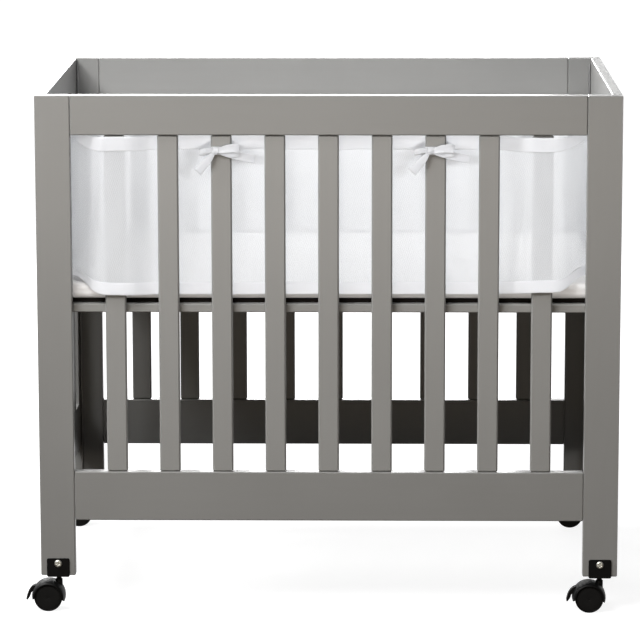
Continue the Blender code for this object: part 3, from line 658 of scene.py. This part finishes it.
def mesh_offset(strip, arc, z):
    """How far the mesh stands inwards of its line, with bows, the seams' gathers and soft creases."""
    x, y, bottom, top, bottom_share, top_share = strip
    low = bottom + BOTTOM_HEIGHT * bottom_share
    high = top - TOP_HEIGHT * top_share
    belly = sin(pi * share_of((z - low) / (high - low)))
    drift = 1.2 * wander(arc, 0, 0, scale=3, seed=4)
    wave = 0.5 - 0.5 * cos(2 * pi * arc / BOW_LENGTH + drift)
    off = BOW * wave * belly ** 2
    for depth, scale_along, scale_up, seed in RIPPLES:
        off += depth * belly * wander(arc * scale_along, z * scale_up, 0, seed=seed)
    for edge, direction, share in ((low, 1, bottom_share), (high, -1, top_share)):
        off += ridge(share, direction, (z - edge) * direction)
        off += seam_drift(arc, direction) * exp(-max(0, (z - edge) * direction) / SEAM_REACH)
        depth = PUCKER_DEPTH * exp(-abs(z - edge) / PUCKER_REACH)
        phase = 2 * pi * arc / PUCKER_LENGTH + 3 * wander(arc * 9, edge, 0, seed=2)
        off += depth * sin(phase) * min(1, belly * 6)
    return off + crease_depth(x, y, z, belly)


def build_bumper_mesh(finish):
    points, cloth = [], []
    inset = GAP + TAPE_THICKNESS + MESH_INSET
    for strip, (nx, ny), arc in zip(STRIP, INWARD, ARC):
        x, y, low, high = strip[0], strip[1], strip[2] + inset, strip[3] - inset
        for j in range(MESH_ROWS):
            z = low + (high - low) * j / (MESH_ROWS - 1)
            off = mesh_offset(strip, arc, z)
            points.append((x + nx * off, y + ny * off, z))
            cloth.append((arc, z, 0))
    mesh = mesh_of(points, grid_faces(len(ARC), MESH_ROWS), "bumper_air_mesh", cloth)
    piece = show("bumper_air_mesh", mesh, finish, slot="bumper_mesh", replaces=["bumper_mesh"])


def tape_offset(from_edge, height):
    """How far each layer of a tape stands from the strip's middle."""
    return TAPE_OFF + (TAPE_EDGE_OFF - TAPE_OFF) * min(1, from_edge / height) ** 2


def binding_profile(height):
    """(offset, distance from the fold) across the tape, down one side and up the other."""
    rows = [share * height for share in TAPE_ROWS]
    side = [height, height - TAPE_LIP, *rows, TAPE_OFF + TAPE_THICKNESS / 2]
    outer = [(-tape_offset(d, height), d) for d in side]
    fold = []
    for degrees in range(22, 159, 22):
        out, up = polar(TAPE_OFF, degrees)
        fold.append((-out, TAPE_OFF - up + TAPE_THICKNESS / 2))
    return [*outer, *fold, *[(-u, d) for u, d in outer[::-1]]]


BINDINGS = {  # column of its edge in STRIP, direction from it into the cloth, and height
    "top": (3, -1, TOP_HEIGHT),
    "bottom": (2, 1, BOTTOM_HEIGHT),
}


def tape_point(index, offset, from_edge, level):
    """A point of a binding, with the slight unevenness of a sewn tape."""
    column, direction, height = BINDINGS[level]
    x, y = STRIP[index][:2]
    edge, share = STRIP[index][column], STRIP[index][column + 2]
    nx, ny = INWARD[index]
    arc = ARC[index]
    side = 1 if offset > 0 else -1
    phase = 2 * pi * arc / TAPE_WAVE_LENGTH + 2.5 * wander(arc * 8, side, edge)
    off = offset + side * TAPE_WAVE * min(1, from_edge / 0.02) * sin(phase)
    off += seam_drift(arc, direction) + ridge(share, direction, (from_edge - height) * share)
    z = edge + direction * from_edge * share + EDGE_DRIFT * wander(arc * 9, direction * 5, 0, seed=31)
    return x + nx * off, y + ny * off, z


def build_binding(level, finish, thread):
    profile = binding_profile(BINDINGS[level][2])
    across = [0]
    for a, b in zip(profile, profile[1:]):
        across.append(across[-1] + dist(a, b))
    points, cloth = [], []
    for i, arc in enumerate(ARC):
        for (offset, from_edge), v in zip(profile, across):
            points.append(tape_point(i, offset, from_edge, level))
            cloth.append((arc, v, 0))
    name = f"bumper_binding_{level}"
    mesh = mesh_of(points, grid_faces(len(ARC), len(profile)), name + "_tape", cloth)
    piece = show(name + "_tape", mesh, finish, slot="binding", replaces=[name])
    add_modifier(piece, "SOLIDIFY", thickness=TAPE_THICKNESS, offset=0)
    stitches = show(name + "_stitches", stitch_mesh(level), thread, slot="binding")


def stitch_mesh(level):
    """A row of stitches on each face of a binding, beside its edge."""
    height = BINDINGS[level][2]
    points, faces = [], []
    for side in (-1, 1):
        surface = side * (tape_offset(height - STITCH_IN, height) + TAPE_THICKNESS / 2)
        for k in range(int(ARC[-1] / STITCH_PITCH)):
            stitch = tube_faces(len(STITCH_RINGS), len(STITCH_SECTION), len(points))
            faces += stitch if side > 0 else [face[::-1] for face in stitch]
            for along, full in STITCH_RINGS:
                column = ((k + 0.5) * STITCH_PITCH + along * STITCH_LENGTH) / ARC[1]
                i = min(int(column), len(ARC) - 2)
                for lift, rise in STITCH_SECTION:
                    offset = surface + side * lift * full * STITCH_HEIGHT
                    from_edge = height - STITCH_IN + rise * full * STITCH_WIDTH
                    a, b = (tape_point(n, offset, from_edge, level) for n in (i, i + 1))
                    points.append([p + (q - p) * (column - i) for p, q in zip(a, b)])
    return mesh_of(points, faces, "stitches")


# ---- ties

def ribbon_surface(points, seed, slant=0):
    """A ribbon through the points: its width curls a little, and it is gathered where it is narrow."""
    surface, cloth = [], []
    arc = 0
    last = len(points) - 1
    for i in range(len(points)):
        before, here, after = (Vector(points[k][:3]) for k in (max(i - 1, 0), i, min(i + 1, last)))
        half_width, lean = points[i][3:]
        along = (after - before).normalized()
        upright = Vector((lean, 0, sqrt(1 - lean ** 2)))
        across = along.cross(upright).normalized()
        arc += (here - before).length
        gather = max(0, 1 - half_width / (RIBBON_WIDTH / 2))
        cut = slant * max(0, 1 - (last - i) / (2 * RIBBON_STEPS))
        for j in range(RIBBON_ACROSS + 1):
            w = 2 * j / RIBBON_ACROSS - 1
            fold = gather * RIBBON_FOLD * sin(3.2 * pi * w + seed)
            curl = RIBBON_CURL * (w * w - 0.33) + RIBBON_DRIFT * wander(arc * 120, w * 1.5, 0, seed=seed)
            surface.append(here + (upright + along * cut * 2) * half_width * w + across * (fold + curl))
            cloth.append((arc, (w + 1) * RIBBON_WIDTH / 2, 0))
    return surface, cloth, arc


def rounded_outline(left, right, low, high, radius, steps):
    """Points round a rectangle, with a point of each corner's arc at each of the steps' angles."""
    points = []
    for u, v, first in (
        (right - radius, high - radius, 0), (left + radius, high - radius, 90),
        (left + radius, low + radius, 180), (right - radius, low + radius, 270),
    ):
        for step in steps:
            du, dv = polar(radius, first + step)
            points.append((u + du, v + dv))
    return points


def ring_points():
    """The ribbon round the slat, higher at the back where it is sewn to the binding."""
    half_x = SLAT_WIDTH / 2 + RIBBON_CLEARANCE
    front_y = -RIBBON_CLEARANCE
    back_y = SLAT_FACE_Y - SIDE_Y - TAPE_OFF - TAPE_THICKNESS / 2 - GAP - RIBBON_THICKNESS
    points = []
    for x, y in rounded_outline(-half_x, half_x, front_y, back_y, RIBBON_CORNER, range(0, 91, 15)):
        rise = RIBBON_BACK_RISE * (y - front_y) / (back_y - front_y)
        points.append((x, y, rise, RIBBON_WIDTH / 2 * 0.94, 0))
    return points


def knot_surface(seed):
    """The ribbon drawn tight round the crossing: a short barrel with deep wrinkles."""
    surface, cloth = [], []
    for i in range(KNOT_RINGS):
        share = 2 * i / (KNOT_RINGS - 1) - 1
        narrow = sqrt(max(0, 1 - 0.62 * share ** 4)) * (0.8 if abs(share) > 0.99 else 1)
        for j in range(KNOT_SIDES):
            angle = 2 * pi * j / KNOT_SIDES
            wrinkle = 1 + 0.07 * sin(4 * share * pi + 1.5 * sin(angle + seed))
            wrinkle += 0.05 * wander(2.2 * cos(angle), 2.2 * sin(angle), share * 2, seed=seed)
            radius_y, radius_z = (r * narrow * wrinkle for r in KNOT_RADII)
            x = share * KNOT_HALF_LENGTH + 0.0012 * sin(angle)
            off = Vector((x, radius_y * cos(angle), radius_z * sin(angle)))
            surface.append(Vector(KNOT_PLACE) + off)
            cloth.append((0.006 * angle, (share + 1) * RIBBON_WIDTH / 2, 0))
    return surface, cloth


def tie_mesh(seed):
    """One tie: the ring round the slat, the knot, two loops and two free ends."""
    ring = ring_points()
    curves = [(seed, 0, [*ring, ring[0]])]
    for number, slant, rows in RIBBON_RUNS:
        curves.append((seed + number, slant, catmull_rom(rows, RIBBON_STEPS)))
    points, cloth, faces = [], [], []
    total = 0
    for curl_seed, slant, curve in curves:
        faces += grid_faces(len(curve), RIBBON_ACROSS + 1, len(points))
        surface, places, length = ribbon_surface(curve, curl_seed, slant)
        points += surface
        cloth += places
        total += length
    surface, places = knot_surface(seed)
    faces += tube_faces(KNOT_RINGS, KNOT_SIDES, len(points), ends=())
    mesh = mesh_of(points + surface, faces, "ribbon_tie", cloth + places)
    return mesh, total + pi * sum(KNOT_RADII)


def on_face(node, side, z):
    """Takes what is made for the front, round zero, to the middle of a node's front or rear face."""
    low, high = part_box(node)
    place = ((low.x + high.x) / 2, low.y if side == "front" else high.y, z)
    return Matrix.Translation(place) @ Matrix.Rotation(0 if side == "front" else pi, 4, "Z")


def build_ties(finish):
    for index, (side, number) in enumerate((side, number) for side in SIDES for number in TIE_SLATS):
        slat = f"slat_{side}_{number}"
        mesh, length = tie_mesh(1.3 * index + 0.4)
        piece = show(f"ribbon_tie_{side}_{number}", mesh, finish, slot="ribbon",
                     replaces=[f"tie_{side}_{number}"], at=on_face(slat, side, TIE_Z))
        add_modifier(piece, "SOLIDIFY", thickness=RIBBON_THICKNESS, offset=0)


# ---- pad

def pad_outline():
    """Points round the pad, seen from above, each with its outward direction."""
    steps = [90 * k / PAD_CORNER_STEPS for k in range(PAD_CORNER_STEPS + 1)]
    corners = rounded_outline(PAD_LOW.x, PAD_HIGH.x, PAD_LOW.y, PAD_HIGH.y, PAD_CORNER_RADIUS, steps)
    outwards = [polar(1, first + step) for first in (0, 90, 180, 270) for step in steps]
    placed = list(zip(corners, outwards))
    outline = []
    for (a, out_a), (b, out_b) in zip(placed, placed[1:] + placed[:1]):
        outline.append((*a, *out_a))
        count = int(dist(a, b) / PAD_SIDE_STEP)
        for k in range(1, count):
            outline.append((*(p + (q - p) * k / count for p, q in zip(a, b)), *out_b))
    return outline


def pad_profile():
    """(inset, share of the way to the middle, height) from the base's middle to the top's."""
    half = (PAD_HIGH.z - PAD_LOW.z) / 2
    edge = []
    for degrees in range(-90, 91, 10):
        out, up = polar(1, degrees)
        seam = PAD_SEAM_DEPTH * exp(-(degrees / 9) ** 2)
        edge.append((PAD_EDGE_RADIUS * (1 - out) + seam, 0, half * up))
    inner = [(PAD_EDGE_RADIUS, (k / PAD_RINGS) ** 1.5 * 0.999, half) for k in range(1, PAD_RINGS + 1)]
    return [*[(i, s, -h) for i, s, h in inner[::-1]], *edge, *inner]


def build_pad(finish):
    """A thin pad with a sewn seam round its waist and a gently uneven top."""
    centre = (PAD_LOW + PAD_HIGH) / 2
    outline, profile = pad_outline(), pad_profile()
    points = []
    for inset, share, height in profile:
        for x, y, out_x, out_y in outline:
            px = (x - out_x * inset - centre.x) * (1 - share)
            py = (y - out_y * inset - centre.y) * (1 - share)
            z = height
            if height > 0:
                z -= PAD_DIP * min(1, share * 6) * (0.5 + 0.5 * wander(px * 5, py * 5, 0, seed=5))
                z -= 0.3 * PAD_DIP * (0.5 + 0.5 * wander(px * 22, py * 22, 0, seed=8)) * height / centre.z
            points.append((centre.x + px, centre.y + py, centre.z + z))
    mesh = mesh_of(points, tube_faces(len(profile), len(outline)), "pad_cushion")
    piece = show("pad_cushion", mesh, finish, slot="pad_cover", replaces=["pad"])


# ---- casters

def turned_mesh(profile, sides, name):
    """A closed (radius, y) profile turned about the Y axis."""
    bm = bmesh.new()
    points = [bm.verts.new((r, y, 0)) for r, y in profile]
    edges = [bm.edges.new(pair) for pair in zip(points, points[1:])]
    bmesh.ops.spin(bm, geom=points + edges, cent=(0, 0, 0), axis=(0, 1, 0), angle=2 * pi, steps=sides)
    return mesh_from(bm, name, 32)


def wheel_profile(radius):
    """Both wheels, (radius, y) from the middle of a face over the treads to that of the other."""
    half = [
        (0, 0.019), (0.0016, 0.019), (0.0021, 0.0196), (0.006, 0.0198), (0.015, 0.02), (0.0205, 0.0198),
        (0.0211, 0.0191), (0.0219, 0.0191), (0.0225, 0.0197), (radius - 0.0014, 0.0194),
        (radius - 0.0005, 0.0186), (radius, 0.017), (radius, 0.0086), (radius - 0.0006, 0.0069),
        (radius - 0.0022, 0.006), (0.015, 0.006), (0.0142, 0.0072), (0.0082, 0.0072), (0.0074, 0.006),
        (0.006, 0.006),
    ]
    return half + [(r, -y) for r, y in half[::-1]]


def hood_shell_mesh():
    """The arched cover over both wheels, crowned in the middle, with the brake lever's slot."""
    profile = [*HOOD_SHELL, *[(-y, radius, swell) for y, radius, swell in HOOD_SHELL[-2::-1]]]
    first, last = HOOD_ANGLES
    points = []
    for i in range(HOOD_STEPS + 1):
        share = i / HOOD_STEPS
        crown = HOOD_SWELL * min(1, 3.2 * share, 3.2 * (1 - share)) ** 0.7
        ends = max(0, 1 - 12 * share) - max(0, 12 * share - 11)
        for y, radius, swell in profile:
            degrees = first + (last - first) * share + HOOD_SLANT * (1 - swell) * ends
            x, z = polar(radius + swell * crown, degrees)
            points.append((x, y, z))
    columns = len(profile)
    faces = []
    for a, *others in grid_faces(HOOD_STEPS + 1, columns):
        i, j = divmod(a, columns)
        degrees = first + (last - first) * (i + 0.5) / HOOD_STEPS
        middle = abs(profile[j][0] + profile[j + 1][0]) / 2
        if middle >= SLOT_HALF_WIDTH or degrees <= SLOT_ANGLE:
            faces.append((a, *others[::-1]))
    return mesh_of(points, faces, "hood_shell", smooth_angle=40)


def web_reach(degrees):
    """Radius of the web's outside, which widens into an arm between WEB_ARM_ANGLES."""
    first, last = WEB_ARM_ANGLES
    inside = share_of((degrees - first) / WEB_ARM_BLEND + 1) * share_of((last - degrees) / WEB_ARM_BLEND + 1)
    return WEB_RING_RADIUS + (WEB_REACH - WEB_RING_RADIUS) * inside ** 2 * (3 - 2 * inside)


def yoke_mesh(axle_z):
    """The plate between the wheels that holds the axle, and the stem on its boss."""
    half = WEB_HALF_THICKNESS
    sides = ((-half, WEB_EASE), (WEB_EASE - half, 0), (half - WEB_EASE, 0), (half, WEB_EASE))
    rings = [(y, ease, 1) for y, ease in sides] + [(y, ease, 0) for y, ease in sides[::-1]] + [(*sides[0], 1)]
    points = []
    for y, ease, outside in rings:
        for k in range(WEB_SIDES):
            degrees = 360 * k / WEB_SIDES
            x, z = polar(web_reach(degrees) - ease if outside else WEB_BORE_RADIUS + ease / 2, degrees)
            points.append((x, y, z))
    turned = turned_mesh([(r, z - axle_z) for r, z in STEM], STEM_SIDES, "stem")
    turned.transform(Matrix.Translation((TRAIL, 0, 0)) @ Matrix.Rotation(pi / 2, 4, "X"))
    bm = bmesh.new()
    bm.from_mesh(mesh_of(points, tube_faces(len(rings), WEB_SIDES, ends=()), "web"))
    bm.from_mesh(turned)
    return mesh_from(bm, "caster_yoke", 40)


def lever_mesh():
    """The brake's foot lever, a hooked plate."""
    outline = catmull_rom([*LEVER_OUTLINE, LEVER_OUTLINE[0]], 4)[:-1]
    points = []
    for y, inset in LEVER_EDGES:
        for before, (x, z), after in zip(outline[-1:] + outline, outline, outline[1:] + outline[:1]):
            along = Vector((after[0] - before[0], after[1] - before[1])).normalized()
            points.append((x + inset * along.y, y, z - inset * along.x))
    return mesh_of(points, tube_faces(len(LEVER_EDGES), len(outline)), "brake_lever", smooth_angle=40)


def screw_mesh():
    """A round-headed screw with a cross recess, its head towards -Y from y = 0."""
    points = []
    for i in range(SCREW_RINGS + 1):
        share = i / SCREW_RINGS
        height = SCREW_RISE * sqrt(1 - 0.86 * share ** 2) if i < SCREW_RINGS else 0
        for j in range(SCREW_SIDES):
            x, z = polar(SCREW_RADIUS * share, 360 * j / SCREW_SIDES)
            near, far = sorted((abs(x), abs(z)))
            cross = 1 / (1 + (near / CROSS_HALF_WIDTH) ** 6) / (1 + (far / CROSS_REACH) ** 8)
            points.append((x, CROSS_DEPTH * cross - height, z))
    bm = bmesh.new()
    bm.from_mesh(mesh_of(points, tube_faces(SCREW_RINGS + 1, SCREW_SIDES, ends=(1,)), "screw"))
    return mesh_from(bm, "bracket_screw", 50)


def build_caster(side, end, finishes):
    place = f"{side}_{end}"
    shell, tyre, coat, zinc = finishes
    axle = Vector(next(j for j in frame["joints"] if j["name"] == f"roll_{place}")["pos_m"])
    low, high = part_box(f"caster_wheels_{place}")
    at = Matrix.Translation((axle.x, (low.y + high.y) / 2, axle.z))
    body, slot = f"caster_{place}", "caster_plastic"
    wheels = turned_mesh(wheel_profile(axle.z), WHEEL_SIDES, "twin_wheel")
    show(f"twin_wheel_{place}", wheels, tyre, f"wheels_{place}", slot, [f"caster_wheels_{place}"], at)
    cover = f"caster_hood_{place}"
    hood = show(f"caster_hood_shell_{place}", hood_shell_mesh(), shell, body, slot, [cover], at)
    add_modifier(hood, "SOLIDIFY", thickness=HOOD_THICKNESS, offset=-1)
    add_modifier(hood, "BEVEL", width=0.0003, segments=2, limit_method="ANGLE")
    show(f"caster_yoke_{place}", yoke_mesh(axle.z), shell, body, slot, at=at)
    show(f"brake_lever_{place}", lever_mesh(), shell, f"brake_{place}", slot, [f"caster_brake_{place}"], at)

    bracket = f"caster_bracket_{place}"
    wear_node(NODES[bracket], coat, 0.0004)
    turn = Matrix.Rotation(radians(SCREW_TURN), 4, "Y")
    show(f"bracket_screw_{place}", screw_mesh(), zinc, at=on_face(bracket, side, SCREW_Z) @ turn)


def build_casters():
    finishes = (
        plastic_finish("caster_shell_plastic", (0.44, 0.56), 0.001, 0.0025, gloss=0.22),
        plastic_finish("caster_wheel_plastic", (0.5, 0.64), 0.0035, 0.006, gloss=0.22, grain=500),
        plastic_finish("bracket_black_coat", (0.46, 0.58), 0.001, 0.0025, gloss=0.2, grain=1400),
        steel_finish("screw_zinc", (0.84, 0.84, 0.77), (0.42, 0.55)),
    )
    for side in SIDES:
        for end in ENDS:
            build_caster(side, end, finishes)


# ---- hinges

def build_hinges(finish):
    """The long hinges in the rear corners: short knuckles on a pin."""
    y = SLAT_FACE_Y - REAR_FRAME_IN - HINGE_IN
    tubes = []  # bottom, top and radius
    for bottom, top in HINGE_SPANS:
        tubes.append((bottom - HINGE_PIN_PROUD, top + HINGE_PIN_PROUD, HINGE_PIN_RADIUS))
        for k in range(int((top - bottom) / KNUCKLE_PITCH)):
            z = bottom + k * KNUCKLE_PITCH
            tubes.append((z, z + KNUCKLE_PITCH - KNUCKLE_GAP, HINGE_RADIUS))
    for end in ENDS:
        low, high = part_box(f"end_{end}")
        x = high.x + HINGE_IN if end == "left" else low.x - HINGE_IN
        points, faces = [], []
        for bottom, top, radius in tubes:
            rings = ((bottom, radius - HINGE_EASE), (bottom + HINGE_EASE, radius),
                     (top - HINGE_EASE, radius), (top, radius - HINGE_EASE))
            faces += tube_faces(len(rings), HINGE_SIDES, len(points))
            for z, r in rings:
                for k in range(HINGE_SIDES):
                    dx, dy = polar(r, 360 * k / HINGE_SIDES)
                    points.append((x + dx, y + dy, z))
        show(f"corner_hinge_{end}", mesh_of(points, faces, "corner_hinge", smooth_angle=35), finish)


# ---- camera, light and floor

CAMERA_PLACE = (0.1014, -6.325, 1.5825)
CAMERA_DOWN = 10.031  # degrees below the horizon
CAMERA_YAW = -0.983  # degrees to the right of +Y
CAMERA_ROLL = -0.074
CAMERA_LENS = 196.55


def build_camera():
    camera = add_object("camera", bpy.data.cameras.new("camera"))
    camera.data.lens = CAMERA_LENS
    camera.data.clip_end = 200
    camera.matrix_world = Matrix.Translation(CAMERA_PLACE)
    for degrees, axis in ((-CAMERA_YAW, "Z"), (90 - CAMERA_DOWN, "X"), (CAMERA_ROLL, "Z")):
        camera.matrix_world @= Matrix.Rotation(radians(degrees), 4, axis)
    bpy.context.scene.camera = camera


WHITE = (1, 1, 1)
WARM = (1, 0.87, 0.72)
CREAM = (1, 0.97, 0.95)
COOL = (0.955, 0.975, 1)
# Name, place, size, power, colour, aim, and what a lamp reaches: the photo's whites are lit more evenly than
# its paint. Nothing else is in the way of a lamp that is for the bumper or the pad.
LIGHTS = (
    ("front_high", (-1.3, -2.3, 2.6), (1.8, 1.2), 33, WHITE, (0, -0.3, 0.75), "all_but_bumper", 110),
    ("front_mid", (-0.6, -4.2, 2.7), (2.6, 0.8), 35, WHITE, (0, 0, 0.6)),
    ("front_low", (0, -3.2, 0.45), (3, 0.5), 14, WARM, (0, 0, 0.5)),
    ("left_key", (-2.3, -0.9, 3), (0.7, 0.7), 50, WHITE, (0, 0, 0.7)),
    ("overhead", (-1.4, 0.35, 2.7), (1.2, 1.2), 55, WHITE, (0, 0.05, 0.8), "all_but_bumper"),
    ("rear_fill", (-0.6, 3.8, 1.5), (2.4, 1), 75, WHITE, (0, 0.3, 0.5)),
    ("right_side", (3.6, -0.2, 1.1), (1.6, 1), 72, WHITE, (0.5, 0, 0.5), "right_end"),
    ("pad_edge", (0, -3.2, 0.64), (3, 0.3), 32, CREAM, (0, 0, 0.56), "pad"),
    ("cloth_left", (-3.2, -3.7, 1.7), (2.2, 1.4), 142, COOL, (0, 0, 0.7), "bumper"),
    ("cloth_right", (3.2, -3.7, 1.7), (2.2, 1.4), 172, COOL, (0, 0, 0.7), "bumper"),
)
SKY_TONES = (  # from straight below to straight above: share of the way, and soft light there
    (0.4, (0.02, 0.015, 0.011)), (0.52, (0.03, 0.029, 0.027)), (0.72, (0.05, 0.05, 0.055)),
)
BACKDROP = 1  # brightness of the far wall in reflections
FLOOR_RADIUS = 120
FLOOR_SIDES = 64


def reached(reach):
    """The pieces that a lamp shines on."""
    if reach == "bumper":
        return CLOTHS
    if reach == "pad":
        return [bpy.data.objects["pad_cushion"]]
    if reach == "right_end":
        return [NODES[name] for name in ("end_right", "post_front_right", "post_rear_right")]
    return [piece for piece in bpy.context.scene.objects if piece.type == "MESH" and piece not in CLOTHS]


def add_light(name, place, size, power, color, aim, reach="all", spread=180):
    light = bpy.data.lights.new(name, "AREA")
    light.shape = "RECTANGLE"
    light.size, light.size_y = size
    light.energy = power
    light.color = color
    light.spread = radians(spread)
    lamp = add_object(name, light)
    lamp.location = place
    lamp.rotation_euler = (Vector(aim) - Vector(place)).to_track_quat("-Z", "Y").to_euler()
    if reach == "all":
        return
    group = bpy.data.collections.new(reach)
    for piece in reached(reach):
        group.objects.link(piece)
    lamp.light_linking.receiver_collection = group
    if reach in ("bumper", "pad"):
        lamp.light_linking.blocker_collection = group


def build_studio():
    """White to the camera, a soft sky to diffuse rays, and with a bright wall behind to glossy ones."""
    world = bpy.data.worlds.new("studio")
    bpy.context.scene.world = world
    world.use_nodes = True
    world.node_tree.nodes.clear()
    studio = Nodes(world.node_tree)
    _, depth, height = studio.split(studio.node("TexCoord", output="Generated"))
    sky = studio.node("ValToRGB", Fac=studio.node("MapRange", Value=height, From_Min=-1))
    ramp = sky.node.color_ramp
    ramp.elements.new(SKY_TONES[-1][0])
    for element, (share, tone) in zip(ramp.elements, SKY_TONES):
        element.position, element.color = share, (*tone, 1)
    soft = studio.node("Background", Color=sky)
    wall = studio.node("Background", Color=[BACKDROP] * 3)
    behind = studio.node("MapRange", Value=depth, From_Min=0.1, From_Max=0.7)
    glow = studio.node("MixShader", _0=behind, _1=soft, _2=wall)
    path = studio.node("LightPath").node.outputs
    shine = studio.node("MixShader", _0=path["Is Glossy Ray"], _1=soft, _2=glow)
    white = studio.node("Background", Color=WHITE)
    seen = studio.node("MixShader", _0=path["Is Camera Ray"], _1=shine, _2=white)
    studio.fill(studio.tree.nodes.new("ShaderNodeOutputWorld"), Surface=seen)
    bpy.context.scene.view_settings.view_transform = "Standard"


def build_floor():
    """A plain pale floor that runs into the white background. It throws no light back up."""
    edge = [(*polar(FLOOR_RADIUS, 360 * k / FLOOR_SIDES), 0) for k in range(FLOOR_SIDES)]
    mesh = mesh_of(edge, [range(FLOOR_SIDES)], "floor")
    floor = add_object("floor", mesh)
    finish = Finish("pale_floor", Base_Color=(0.3, 0.3, 0.3), Roughness=0.9, Specular_IOR_Level=0)
    where = finish.node("TexCoord", output="Object")
    far = finish.node("VectorMath", output="Value", operation="LENGTH", _0=where)
    glow = finish.node("MapRange", Value=far, From_Min=0.5, From_Max=2, To_Min=0.86, To_Max=1.1)
    finish.fill(finish.shader, Emission_Color=WHITE, Emission_Strength=glow)
    mesh.materials.append(finish.material)
    floor.visible_diffuse = False
    floor.visible_glossy = False


finish_crib()
build_bumper_mesh(mesh_finish())
TAPE = tape_finish("binding_woven_tape", (0.785, 0.785, 0.8), 0.1, 0.0011, 0.25, (0.55, 0.72))
THREAD = thread_finish()
for binding in BINDINGS:
    build_binding(binding, TAPE, THREAD)
build_ties(tape_finish("ribbon_satin", (0.8, 0.8, 0.815), 0.2, 0.0006, 0.4, (0.36, 0.52)))
build_pad(pad_finish())
build_casters()
build_hinges(steel_finish("hinge_steel", (0.42, 0.42, 0.42), (0.35, 0.5)))
build_camera()
build_floor()
for row in LIGHTS:
    add_light(*row)
build_studio()
